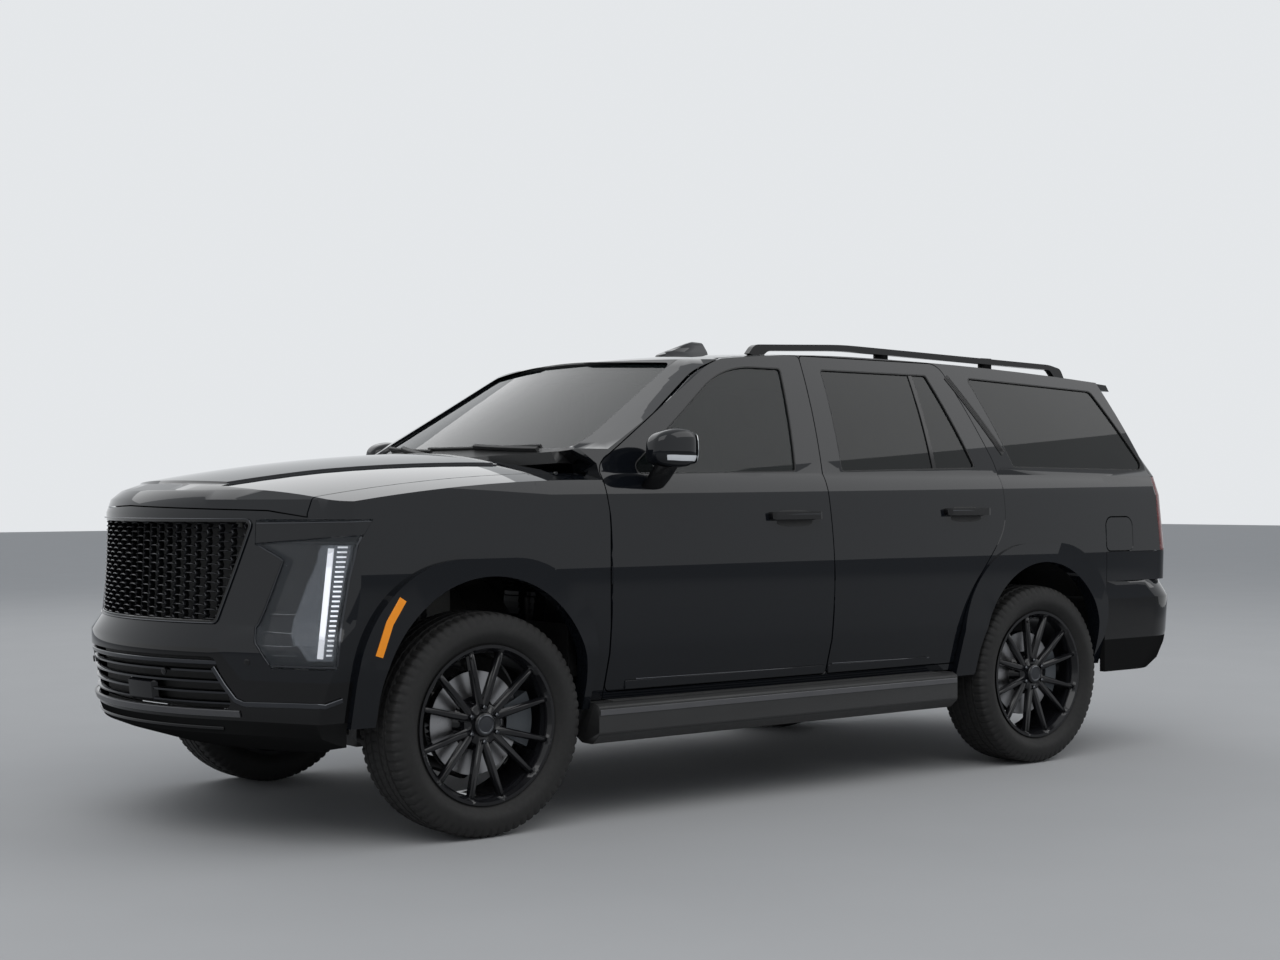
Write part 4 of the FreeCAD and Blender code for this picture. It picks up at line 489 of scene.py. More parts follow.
def smooth_copy(node, degrees=28.0):
    """The node's own shape as one welded mesh with smooth shading, standing for the node."""
    source = frame["nodes"][node]
    mesh = source.data.copy()
    bm = bmesh.new()
    bm.from_mesh(mesh)
    bmesh.ops.remove_doubles(bm, verts=bm.verts, dist=2e-5)
    bmesh.ops.dissolve_degenerate(bm, edges=bm.edges, dist=1e-5)
    bmesh.ops.recalc_face_normals(bm, faces=bm.faces)
    bm.to_mesh(mesh)
    bm.free()
    mesh.shade_smooth()
    mesh.set_sharp_from_angle(angle=math.radians(degrees))
    if node.startswith(SKIN_NODES):
        true_normals(mesh)
    mesh.materials.clear()
    mesh.materials.append(look_of(node))
    piece = bpy.data.objects.new(node + "_skin", mesh)
    bpy.context.scene.collection.objects.link(piece)
    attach(piece, source["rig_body"])
    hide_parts(node)


# Making new pieces
SETTLE_STEPS = 8


def slope_of(gap, points):
    """The unit slope of a surface formula at each point."""
    slope = rise_of(gap, points)
    return slope / np.linalg.norm(slope, axis=1)[:, None]


def settle(points, gap, out=0.0):
    """Points moved along the surface's slope until they stand out from it by the given distance."""
    points = np.array(points, float)
    for _ in range(SETTLE_STEPS):
        slope = rise_of(gap, points) / (2 * SKIN_STEP)
        length = np.linalg.norm(slope, axis=1)
        points += slope * ((out - gap(points) / length) / length)[:, None]
    return points


def front_gap(points):
    """The front corner: the body side and the nose, whichever is further in."""
    return np.maximum(side_gap(points), nose_gap(points))


def through(points, count):
    """Evenly spaced points along straight runs between the given ones."""
    points = np.array(points, float)
    reach = np.concatenate([[0], np.cumsum(np.linalg.norm(np.diff(points, axis=0), axis=1))])
    where = np.linspace(0, reach[-1], count)
    return np.stack([np.interp(where, reach, points[:, axis]) for axis in range(points.shape[1])], axis=1)


def run(points, count, closed=False):
    """Evenly spaced points along straight runs, which lead back to their start where the run is closed."""
    points = np.asarray(points, float)
    return through(np.vstack([points, points[:1]]), count + 1)[:-1] if closed else through(points, count)


def rounded(corners, steps=7):
    """A closed run of straight lines whose corners (u, v, radius) are arcs."""
    points = np.array([c[:2] for c in corners], float)
    made = []
    for i, (u, v, radius) in enumerate(corners):
        back, on = points[i - 1] - points[i], points[(i + 1) % len(points)] - points[i]
        back, on = back / np.linalg.norm(back), on / np.linalg.norm(on)
        half = math.acos(np.clip(back @ on, -1, 1)) / 2
        reach = radius / math.tan(half)
        mid = (back + on) / np.linalg.norm(back + on)
        centre = points[i] + mid * radius / math.sin(half)
        start, end = points[i] + back * reach - centre, points[i] + on * reach - centre
        turn = math.atan2(start[0] * end[1] - start[1] * end[0], start @ end)
        angles = np.linspace(0, turn, steps)
        cos, sin = np.cos(angles), np.sin(angles)
        made.append(centre + np.stack([start[0] * cos - start[1] * sin, start[0] * sin + start[1] * cos], axis=1))
    return np.concatenate(made)


def grid(first, second):
    """Two parameters over a grid, each given as its start, end and count."""
    return np.meshgrid(np.linspace(*first), np.linspace(*second), indexing="ij")


def grid_faces(rows, columns, wrap_rows=False, wrap_columns=False):
    """Four-cornered faces between neighbouring points of a grid, joined round where it wraps."""
    r, c = np.arange(rows - (not wrap_rows)), np.arange(columns - (not wrap_columns))
    r, c = r[:, None], c[None, :]
    r_on, c_on = (r + 1) % rows, (c + 1) % columns
    corners = [r * columns + c, r * columns + c_on, r_on * columns + c_on, r_on * columns + c]
    return np.stack(np.broadcast_arrays(*corners), axis=-1).reshape(-1, 4)


def piece(name, points, faces, look, body="body_shell", caps=(), smooth=34.0, replaces=(), solid=0.0):
    """One new object from its points and faces, its normals made to point outwards."""
    mesh = bpy.data.meshes.new(name)
    every_face = np.asarray(faces).tolist() + [list(cap) for cap in caps]
    mesh.from_pydata(np.asarray(points).reshape(-1, 3).tolist(), [], every_face)
    bm = bmesh.new()
    bm.from_mesh(mesh)
    bmesh.ops.remove_doubles(bm, verts=bm.verts, dist=1e-6)
    bmesh.ops.recalc_face_normals(bm, faces=bm.faces)
    if solid:
        bmesh.ops.solidify(bm, geom=bm.faces[:], thickness=solid)
        bmesh.ops.recalc_face_normals(bm, faces=bm.faces)
    bm.to_mesh(mesh)
    bm.free()
    mesh.shade_smooth()
    mesh.set_sharp_from_angle(angle=math.radians(smooth))
    mesh.materials.append(FINISHES[look].material)
    made = bpy.data.objects.new(name, mesh)
    bpy.context.scene.collection.objects.link(made)
    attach(made, body)
    if replaces:
        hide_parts(*replaces)
    return made


def sheet(name, points, look, body="body_shell", wrap=False, **rest):
    """A piece from a grid of points, whose last row joins its first where it wraps."""
    return piece(name, points, grid_faces(*points.shape[:2], wrap), look, body, **rest)


def joined(parts):
    """Several (points, faces, caps) made one set."""
    points, faces, caps, start = [], [], [], 0
    for p, f, c in parts:
        p = np.asarray(p).reshape(-1, 3)
        points.append(p)
        faces += (np.asarray(f) + start).tolist()
        caps += [[i + start for i in cap] for cap in c]
        start += len(p)
    return np.concatenate(points), faces, caps


def fused(name, parts, look, body="body_shell", **rest):
    """Several (points, faces, caps) as one piece."""
    points, faces, caps = joined(parts)
    return piece(name, points, faces, look, body, caps, **rest)


def carried(path, profile, normal, closed=False):
    """A profile carried along a path: its first number goes across the path, its second along the normal."""
    path, profile = np.asarray(path, float), np.asarray(profile, float)
    normal = np.broadcast_to(np.asarray(normal, float), path.shape)
    along = np.roll(path, -1, 0) - np.roll(path, 1, 0) if closed else np.gradient(path, axis=0)
    across = np.cross(along, normal)
    across /= np.linalg.norm(across, axis=1)[:, None]
    points = path[:, None] + across[:, None] * profile[None, :, :1] + normal[:, None] * profile[None, :, 1:]
    count = len(profile)
    last = (len(path) - 1) * count
    caps = () if closed else (range(count), range(last, last + count))
    return points.reshape(-1, 3), grid_faces(len(path), count, closed, True), caps


def strip_profile(width, height, sink=0.003):
    """A low bar with bevelled shoulders, its foot sunk into what it lies on."""
    w, b = width / 2, min(width, height) * 0.28
    return [(-w, -sink), (-w, height - b), (-w + b, height), (w - b, height), (w, height - b), (w, -sink)]


def bar(path, gap, profile, side=1, closed=False):
    """A profile carried along a path that lies on one of the body's surfaces, or on its other side."""
    turn = np.array([1, side, 1])
    return carried(path * turn, profile, slope_of(gap, path) * turn, closed)


def strip(name, path, gap, look, body, width, height, out=0.0, closed=False, side=1, sink=0.003):
    """A low bar settled along a path on one of the body's surfaces."""
    parts = bar(settle(path, gap, out), gap, strip_profile(width, height, sink), side, closed)
    return fused(name, [parts], look, body)


def turned(profile, centre, axis, count=48, closed=False):
    """A profile of (out, radius) turned about an axis; open ends on the axis are closed by merging."""
    profile = np.asarray(profile, float)
    angle = np.linspace(0, 2 * math.pi, count, endpoint=False)
    axis = np.asarray(axis, float) / np.linalg.norm(axis)
    helper = np.array([0, 0, 1.0]) if abs(axis[2]) < 0.9 else np.array([1.0, 0, 0])
    u = np.cross(axis, helper)
    u /= np.linalg.norm(u)
    v = np.cross(axis, u)
    ring = np.cos(angle)[:, None] * u + np.sin(angle)[:, None] * v
    points = np.asarray(centre) + axis * profile[None, :, :1] + ring[:, None] * profile[None, :, 1:]
    return points.reshape(-1, 3), grid_faces(count, len(profile), True, closed), ()


def box_form(u, v, high, flat, top):
    """A sphere's two angles, their sines and cosines drawn out towards a box by powers below 1."""
    def drawn(value, power):
        return np.sign(value) * np.abs(value) ** power
    ring = drawn(np.cos(v), high)
    return ring * drawn(np.cos(u), flat), ring * drawn(np.sin(u), flat), drawn(np.sin(v), top)


def nose_points(y, z, depth=0.0):
    return np.stack([nose_x(y, z, depth), y, z], axis=-1)


def nose_line(half, level, count=60):
    """A level path across the nose."""
    return nose_points(np.linspace(-half, half, count), np.full(count, level))


# Grille
GRILLE_LOW, GRILLE_HIGH, GRILLE_FRAME, GRILLE_CORNER = 0.806, 1.180, 0.016, 0.022
GRILLE_FOOT_HALF, GRILLE_HEAD_HALF, GRILLE_BACK = 0.529, 0.656, 0.075
GRILLE_MIDDLE = (GRILLE_LOW + GRILLE_HIGH) / 2
GRILLE_ROWS, GRILLE_COLUMNS, GRILLE_PITCH = 22, 8, 0.098
WING_HALF, WING_TIP_BACK, WEB_DROP = 0.028, 0.004, 0.0033
# Sections of the wings and of the webs between them, as depth behind the nose and distance from their middle
WING_SECTION = np.array([(0.003, 0), (0.005, 0.0019), (0.018, 0.0030), (0.030, 0), (0.018, -0.0030), (0.005, -0.0019)])
WEB_SECTION = np.array([(0.008, 0), (0.012, 0.0011), (0.028, 0.0011), (0.030, 0), (0.028, -0.0011), (0.012, -0.0011)])
# Along a wing: the share of its half length, the share of its height and how far it droops
WING_ALONG = np.array([-1.0, -0.86, -0.4, 0.4, 0.86, 1.0])[:, None]
WING_TALL = np.array([0.5, 0.95, 1.0, 1.0, 0.95, 0.5])[:, None]
WING_DROOP = np.array([-0.0035, -0.0022, 0.0, 0.0, -0.0022, -0.0035])[:, None]


def grille_half(z):
    """Half width of the grille at a level."""
    return GRILLE_FOOT_HALF + (GRILLE_HEAD_HALF - GRILLE_FOOT_HALF) * (z - GRILLE_LOW) / (GRILLE_HIGH - GRILLE_LOW)


def many(points):
    """Rings of points, joined ring to ring within each of many closed bars: (bars, rings, round, 3)."""
    bars, rings, count = points.shape[:3]
    first = (np.arange(bars) * rings * count)[:, None, None]
    faces = (grid_faces(rings, count, False, True)[None] + first).reshape(-1, 4)
    starts = np.concatenate([first.ravel(), first.ravel() + (rings - 1) * count])
    return points.reshape(-1, 3), faces, (starts[:, None] + np.arange(count)).tolist()


def on_nose(y, z, depth):
    """Points set in from the nose, held inside the grille's slanted sides."""
    limit = grille_half(z) - GRILLE_FRAME * 0.5
    held = np.sign(y) * (np.minimum(np.abs(y), limit) + np.maximum(np.abs(y) - limit, 0) * 0.03)
    return np.stack([nose_x(held, z) - depth, held, z], axis=-1)


def make_grille():
    """Rows of short wing bars, each row half a pitch aside of the last, with slanted webs from tip to tip."""
    rise = (GRILLE_HIGH - GRILLE_LOW - 2 * GRILLE_FRAME) / (GRILLE_ROWS - 1)
    rows, columns = np.arange(GRILLE_ROWS), np.arange(-GRILLE_COLUMNS, GRILLE_COLUMNS + 1)
    z = GRILLE_LOW + GRILLE_FRAME + rise * rows
    y = columns[None, :] * GRILLE_PITCH + (rows[:, None] % 2) * GRILLE_PITCH / 2
    keep = np.abs(y) < (grille_half(z) - GRILLE_FRAME)[:, None] + WING_HALF * 0.4
    middle = np.stack([y, np.broadcast_to(z[:, None], y.shape)], axis=-1)[keep]
    even = np.zeros(len(WING_SECTION))
    wing_y = middle[:, None, None, 0] + WING_ALONG * WING_HALF + even
    wing_z = middle[:, None, None, 1] + WING_DROOP + WING_TALL * WING_SECTION[:, 1]
    parts = [many(on_nose(wing_y, wing_z, WING_SECTION[:, 0] + WING_TIP_BACK * (1 - WING_TALL)))]
    lower = middle[middle[:, 1] < z[-1] - rise / 2]
    share = np.linspace(0, 1, 4)[:, None]
    tip = WING_HALF * 0.97
    for way in (-1, 1):
        web_y = lower[:, None, None, 0] + way * (tip + (GRILLE_PITCH / 2 - 2 * tip) * share) + WEB_SECTION[:, 1]
        web_z = lower[:, None, None, 1] - WEB_DROP + rise * share + even
        parts.append(many(on_nose(web_y, web_z, WEB_SECTION[:, 0])))
    fused("grille_wings", parts, "grille", smooth=30.0, replaces=("grille",))
    z, y = grid((GRILLE_LOW, GRILLE_HIGH, 13), (-1, 1, 41))
    sheet("grille_backing", nose_points(y * grille_half(z), z, GRILLE_BACK), "rubber", solid=0.003)
    loop = rounded([(-GRILLE_HEAD_HALF, GRILLE_HIGH, GRILLE_CORNER), (GRILLE_HEAD_HALF, GRILLE_HIGH, GRILLE_CORNER),
                    (GRILLE_FOOT_HALF, GRILLE_LOW, GRILLE_CORNER), (-GRILLE_FOOT_HALF, GRILLE_LOW, GRILLE_CORNER)])
    for name, wide, tall, look, width, out in (("grille_frame", 0.985, 0.985, "gloss", 0.017, -0.010),
                                               ("grille_edge", 0.998, 1, "dark_bright", 0.004, -0.001)):
        y, z = (run(loop, 259, True) * [wide, 1]).T
        path = nose_points(y, GRILLE_MIDDLE + (z - GRILLE_MIDDLE) * tall)
        strip(name, path, nose_gap, look, "body_shell", width, 0.008, out, True, sink=0.012)


# Lower front
LOWER_LOW, LOWER_HIGH, LOWER_HEAD_HALF, LOWER_FOOT_HALF = 0.500, 0.690, 0.560, 0.619
LOWER_BARS, BAR_END_GAP, BAR_BACK, LOWER_BACK = (0.522, 0.560, 0.598, 0.636), 0.006, 0.016, 0.055
BAR_SECTION = [(-0.007, -0.018), (-0.008, 0.0), (-0.004, 0.007), (0.004, 0.004), (0.007, -0.018)]
RANGE_SENSOR_Y, RANGE_SENSOR_Z = (0.085, 0.262), (0.512, 0.592)
CORNER_TRIM = [(2.55, 0.560, 0.650), (2.52, 0.592, 0.590), (2.49, 0.628, 0.537), (2.47, 0.660, 0.524),
               (2.38, 0.860, 0.527), (2.24, 0.990, 0.534)]
PARK_SENSORS = ((0.700, 0.672), (0.300, 0.640))
PARK_SENSOR_PROFILE = [(-0.004, 0.0), (-0.004, 0.012), (0.0012, 0.012), (0.002, 0.010), (0.002, 0.0)]


def lower_half(z):
    """Half width of the lower grille at a level."""
    return LOWER_HEAD_HALF + (LOWER_FOOT_HALF - LOWER_HEAD_HALF) * (LOWER_HIGH - z) / (LOWER_HIGH - LOWER_LOW)


def make_lower_front():
    """The lower grille's bars, the strips across the bumper, and its sensors."""
    bars = []
    for level in LOWER_BARS:
        path = nose_line(lower_half(level) - BAR_END_GAP, level)
        path[:, 0] -= BAR_BACK
        bars.append(bar(path, nose_gap, BAR_SECTION))
    fused("lower_grille_bars", bars, "dark_bright")
    z, y = grid((LOWER_LOW, LOWER_HIGH, 9), (-1, 1, 41))
    sheet("lower_grille_backing", nose_points(y * lower_half(z), z, LOWER_BACK), "rubber", solid=0.003)
    for name, half, level, count, look, width, height, out in (
            ("lower_grille_cap", 0.585, 0.668, 60, "dark_bright", 0.016, 0.008, -0.010),
            ("front_lip_strip", 0.640, 0.488, 90, "strip", 0.026, 0.006, 0.0),
            ("front_skid_edge", 0.560, 0.432, 90, "gloss", 0.012, 0.006, 0.0)):
        strip(name, nose_line(half, level, count), nose_gap, look, "body_shell", width, height, out)
    (left, right), (low, high) = RANGE_SENSOR_Y, RANGE_SENSOR_Z
    z, y = grid((low, high, 9), (left, right, 15))
    rim = np.minimum.reduce([y - left, right - y, z - low, high - z])
    sheet("range_sensor_cover", nose_points(y, z, 0.006 + 0.018 * (rim < 0.002)), "smoked", solid=0.012)
    for name, side in SIDES.items():
        turn = np.array([1, side, 1])
        edge = settle(through(CORNER_TRIM, 70), front_gap)
        strip(f"corner_trim_{name}", edge, front_gap, "dark_bright", "body_shell", 0.018, 0.007, side=side)
        sensors = []
        for y, z in PARK_SENSORS:
            spot = settle([(2.5, y, z)], nose_gap)
            out = slope_of(nose_gap, spot)[0]
            sensors.append(turned(PARK_SENSOR_PROFILE, spot[0] * turn, out * turn, 28))
        fused(f"park_sensors_{name}", sensors, "gloss")


# Headlamps
LAMP_LOW, LAMP_HIGH, TRAY_HIGH, TRAY_IN, LIGHT_SINK = 0.655, 1.180, 1.100, 0.004, 0.0135
BLADE_ENDS = [(2.270, 0.926, 1.078), (2.322, 0.938, 0.694)]
LADDER_ENDS = [(2.299, 0.962, 0.706), (2.244, 0.962, 1.082)]
LADDER_RUNGS, RUNG_WAY = 23, np.array([-0.80, 0.60, 0])
# The crystal's inner edge: levels and shares of the way round the corner
CRYSTAL_Z = [0.691, 0.768, 0.822, 0.941, 1.035, 1.091]
CRYSTAL_SHARE = [0.52, 0.39, 0.33, 0.36, 0.42, 0.63]


def lamp_inner(z):
    """The lamp's inner edge, as the distance from the vehicle's middle at a level."""
    return np.interp(z, [0.655, 0.797, 0.858, 1.035, 1.090, 1.180], [0.770, 0.676, 0.702, 0.764, 0.660, 0.660])


def lamp_rear(z):
    """The lamp's rear edge, as a station at a level."""
    stations = [xf(-0.620), xf(-0.610), xf(-0.577), xf(-0.543), xf(-0.484)]
    return np.interp(z, [0.655, 0.788, 0.977, 1.097, 1.180], stations)


def lamp_sheet(z, share, depth):
    """Points of the lamp's surface: at each level, a share of the way round the corner from inner to rear edge."""
    start = nose_points(lamp_inner(z), z)
    end = np.stack([lamp_rear(z), side_y(lamp_rear(z), z), z], axis=-1)
    bulge = np.sin(share * math.pi) * 0.05
    middle = start + (end - start) * share[..., None]
    middle = middle + bulge[..., None] * np.array([0.75, 0.66, 0])
    flat = middle.reshape(-1, 3)
    on = settle(flat, front_gap)
    on[:, 2] = flat[:, 2]
    on = settle(on, front_gap)
    return (on - slope_of(front_gap, on) * np.asarray(depth).reshape(-1, 1)).reshape(*middle.shape)


def make_lamp(name, side):
    """A headlamp: tray, ledges, crystal block, light blade and ladder, brow and bright edges."""
    turn = np.array([1, side, 1])

    def rail(path, *profile):
        return bar(path, front_gap, strip_profile(*profile), side)

    low = LAMP_LOW + TRAY_IN
    z, share = grid((low, TRAY_HIGH, 90), (0.01, 0.99, 40))
    rim = np.minimum.reduce([share - 0.01, 0.99 - share, (z - low) * 4, (TRAY_HIGH - z) * 4])
    tray = lamp_sheet(z, share, np.where(rim < 0.02, 0.0115, 0.030)) * turn
    sheet(f"lamp_tray_{name}", tray, "smoked", smooth=25.0, replaces=("headlamps",) if side > 0 else (), solid=0.002)
    levels, share = LAMP_LOW + 0.048 * np.arange(1, 5) - 0.003, np.linspace(0.06, 0.40, 16)
    ledges = [rail(lamp_sheet(np.full(16, level), share, 0.026), 0.0022, 0.002, 0.004) for level in levels]
    fused(f"lamp_ledges_{name}", ledges, "bright")
    z, mix = grid((0.684, 1.090, 40), (0, 1, 18))
    start = np.interp(z, CRYSTAL_Z, CRYSTAL_SHARE)
    depth = 0.017 + 0.008 * (np.minimum(mix, 1 - mix) < 0.03)
    crystal = lamp_sheet(z, start + (0.955 - start) * mix, depth) * turn
    sheet(f"lamp_crystal_{name}", crystal, "crystal", solid=0.004)
    blade = through(settle(BLADE_ENDS, front_gap, -LIGHT_SINK), 30)
    fused(f"lamp_blade_{name}", [rail(blade, 0.021, 0.0045)], "blade")
    foot, head = settle(LADDER_ENDS, front_gap, -LIGHT_SINK)
    rungs = []
    for step in np.linspace(0, 1, LADDER_RUNGS):
        half = 0.009 + 0.008 * step
        path = foot + (head - foot) * step + np.linspace(-1, 1, 5)[:, None] * half * RUNG_WAY
        rungs.append(rail(path, 0.0060, 0.004))
    fused(f"lamp_ladder_{name}", rungs, "blade")
    rise, share = grid((0, 1, 14), (0.004, 0.998, 50))
    low = 1.088 + 0.034 * share
    depth = 0.0006 + 0.006 * (np.minimum(rise, 1 - rise) < 0.01)
    brow = lamp_sheet(low + (LAMP_HIGH - 0.003 - low) * rise, share, depth) * turn
    sheet(f"lamp_brow_{name}", brow, "paint", solid=0.004)
    for key, shares, levels, width in (("rear", (0.985, 0.985), (0.668, 1.118), 0.007),
                                       ("foot", (0.05, 0.985), (0.664, 0.664), 0.006),
                                       ("inner", (0.015, 0.015), (0.668, 1.086), 0.004),
                                       ("brow", (0.01, 0.985), (1.164, 1.172), 0.0045)):
        path = lamp_sheet(np.linspace(*levels, 40), np.linspace(*shares, 40), 0.0)
        fused(f"lamp_edge_{key}_{name}", [rail(path, width, 0.0022, 0.005)], "dark_bright")


# Wheels
TREAD_PITCHES, TREAD_STEPS, TREAD_HALF, SHOULDER_DROP, BEAD_R = 72, 6, 0.112, 0.006, 0.297
# Turned profiles as (out from the wheel's middle, radius)
NUT_PROFILE = [(0.070, 0.0), (0.070, 0.0145), (0.0785, 0.0145), (0.0785, 0.0105), (0.090, 0.0098),
               (0.0935, 0.006), (0.094, 0.0)]
CAP_PROFILE = [(0.088, 0.0), (0.088, 0.0375), (0.0955, 0.0375), (0.0975, 0.034), (0.0972, 0.030), (0.0958, 0.028),
               (0.0966, 0.012), (0.0968, 0.0)]
DISC_PROFILE = [(0.0, 0.100), (0.0172, 0.100), (0.0172, 0.1935), (0.0160, 0.1945), (0.0, 0.1945)]
LIP_PROFILE = [(0.1035, 0.2915), (0.1125, 0.2955), (0.1140, 0.2945), (0.1135, 0.2905), (0.1035, 0.2870)]
STEM_PROFILE = [(0.085, 0.0), (0.085, 0.0045), (0.105, 0.0045), (0.106, 0.0055), (0.112, 0.0055), (0.113, 0.0)]
NUT_CIRCLE, STEM_CIRCLE = 0.064, 0.258
CALIPER_SECTION = [(-0.040, -0.045), (-0.040, 0.030), (-0.030, 0.040), (0.030, 0.040), (0.040, 0.030),
                   (0.040, -0.045), (0.020, -0.045), (0.020, 0.022), (-0.020, 0.022), (-0.020, -0.045)]
CALIPER_CIRCLE, CALIPER_OUT = 0.178, 0.004


def tyre_section():
    """Distances out and radii round the tyre's section: flat tread, round shoulders, full sidewalls, and the bead."""
    tread = np.linspace(-TREAD_HALF, TREAD_HALF, 71)
    wall = np.linspace(0, 1, 13)[1:]
    crown = TYRE_R - SHOULDER_DROP * (tread / TREAD_HALF) ** 4
    swell = np.sin(wall * math.pi * 0.5)
    out = TREAD_HALF + (TYRE_HALF - TREAD_HALF) * np.sin(np.minimum(wall * 1.55, 1) * math.pi / 2)
    out = out - 0.034 * np.maximum(wall - 0.62, 0) ** 1.5 / 0.234
    shoulder = TYRE_R - SHOULDER_DROP
    radius = shoulder - (shoulder - BEAD_R) * wall ** (1.35 - 0.3 * swell)
    inner = np.array([(0.100, 0.282), (0.05, 0.300), (-0.05, 0.300), (-0.100, 0.282)])
    outs = np.concatenate([tread, out, inner[:, 0], -out[::-1]])
    return outs, np.concatenate([crown, radius, inner[:, 1], radius[::-1]])


def make_tyre(corner, axle, side):
    """The section turned about the axle, less grooves that are a function of the distance out and the angle."""
    outs, radii = tyre_section()
    columns = TREAD_PITCHES * TREAD_STEPS
    angle = np.linspace(0, 2 * math.pi, columns, endpoint=False)[:, None]
    phase = np.arange(columns)[:, None] % TREAD_STEPS
    reach = np.abs(outs)
    tread = radii > TYRE_R - 0.012
    ribs = np.min(np.abs(reach[:, None] - [0.026, 0.066]), axis=1) < 0.0045
    shoulder = (reach > 0.074) & (radii > TYRE_R - 0.030)
    sipes = (reach < 0.066) & tread & ((phase + (reach * 60).astype(int)) % TREAD_STEPS == 0)
    cut = 0.0075 * (ribs & tread) + 0.0045 * (shoulder & (phase < 2)) * ~ribs
    cut = np.maximum(cut, 0.003 * sipes)
    r = radii - cut
    x, z = axle + r * np.cos(angle), WHEEL_Z + r * np.sin(angle)
    y = side * (WHEEL_Y + outs * (1 - cut * 2))
    faces = grid_faces(columns, len(outs), True, True)
    piece(f"tyre_tread_{corner}", np.stack([x, y, z], axis=-1), faces, "tyre", f"wheel_{corner}", smooth=30.0,
          replaces=(f"tyre_{corner}",))


def make_wheel(corner, axle, side):
    """Nuts, cap, disc, rim lip and valve stem of one wheel."""
    axis, centre, body = (0, side, 0), np.array([axle, side * WHEEL_Y, WHEEL_Z]), f"wheel_{corner}"

    def spot(radius, degrees):
        angle = math.radians(degrees)
        return centre + np.array([math.cos(angle) * radius, 0, math.sin(angle) * radius])

    nuts = [turned(NUT_PROFILE, spot(NUT_CIRCLE, degrees), axis, 6) for degrees in range(30, 390, 60)]
    fused(f"lug_nuts_{corner}", nuts, "dark_bright", body, smooth=15.0)
    for key, profile, count, closed, look in (("wheel_cap", CAP_PROFILE, 48, False, "dark_bright"),
                                              ("brake_disc", DISC_PROFILE, 72, True, "disc"),
                                              ("rim_lip", LIP_PROFILE, 96, True, "dark_bright")):
        fused(f"{key}_{corner}", [turned(profile, centre, axis, count, closed)], look, body)
    fused(f"valve_stem_{corner}", [turned(STEM_PROFILE, spot(STEM_CIRCLE, 75), axis, 14)], "rubber", body)


def make_rear_caliper(name, side):
    """A caliper's block section carried round part of the disc."""
    angle = np.radians(np.linspace(152, 208, 14))
    away = np.stack([np.cos(angle), np.zeros(14), np.sin(angle)], axis=1)
    path = away * CALIPER_CIRCLE + np.array([REAR_AXLE, side * (WHEEL_Y + CALIPER_OUT), WHEEL_Z])
    fused(f"rear_caliper_{name}", [carried(path, CALIPER_SECTION, away)], "caliper")


# Side trim: corners as (station, level, radius)
FRONT_WINDOW = [(xf(0.640), 1.342, 0.030), (xf(1.245), 1.803, 0.500), (xf(1.577), 1.803, 0.016),
                (xf(1.549), 1.358, 0.016)]
REAR_WINDOW = [(xf(1.812), 1.360, 0.016), (xf(1.806), 1.807, 0.016), (xr(-0.601), 1.807, 0.016),
               (xr(-0.402), 1.380, 0.016)]
QUARTER_WINDOW = [(xr(-0.141), 1.386, 0.020), (xr(-0.336), 1.806, 0.020), (xr(0.569), 1.772, 0.045),
                  (xr(0.870), 1.378, 0.030)]
MARKER_LINE = [(2.040, 1.030, 0.896), (2.092, 1.027, 0.812), (2.128, 1.014, 0.696)]
BOARD_FACE, BOARD_LEVEL, BOARD_TOP, UPRIGHT = 1.028, 0.430, 0.466, (0, 0, 1.0)


def side_path(xz, count, closed=False):
    x, z = run(xz, count, closed).T
    return np.stack([x, side_y(x, z), z], axis=1)


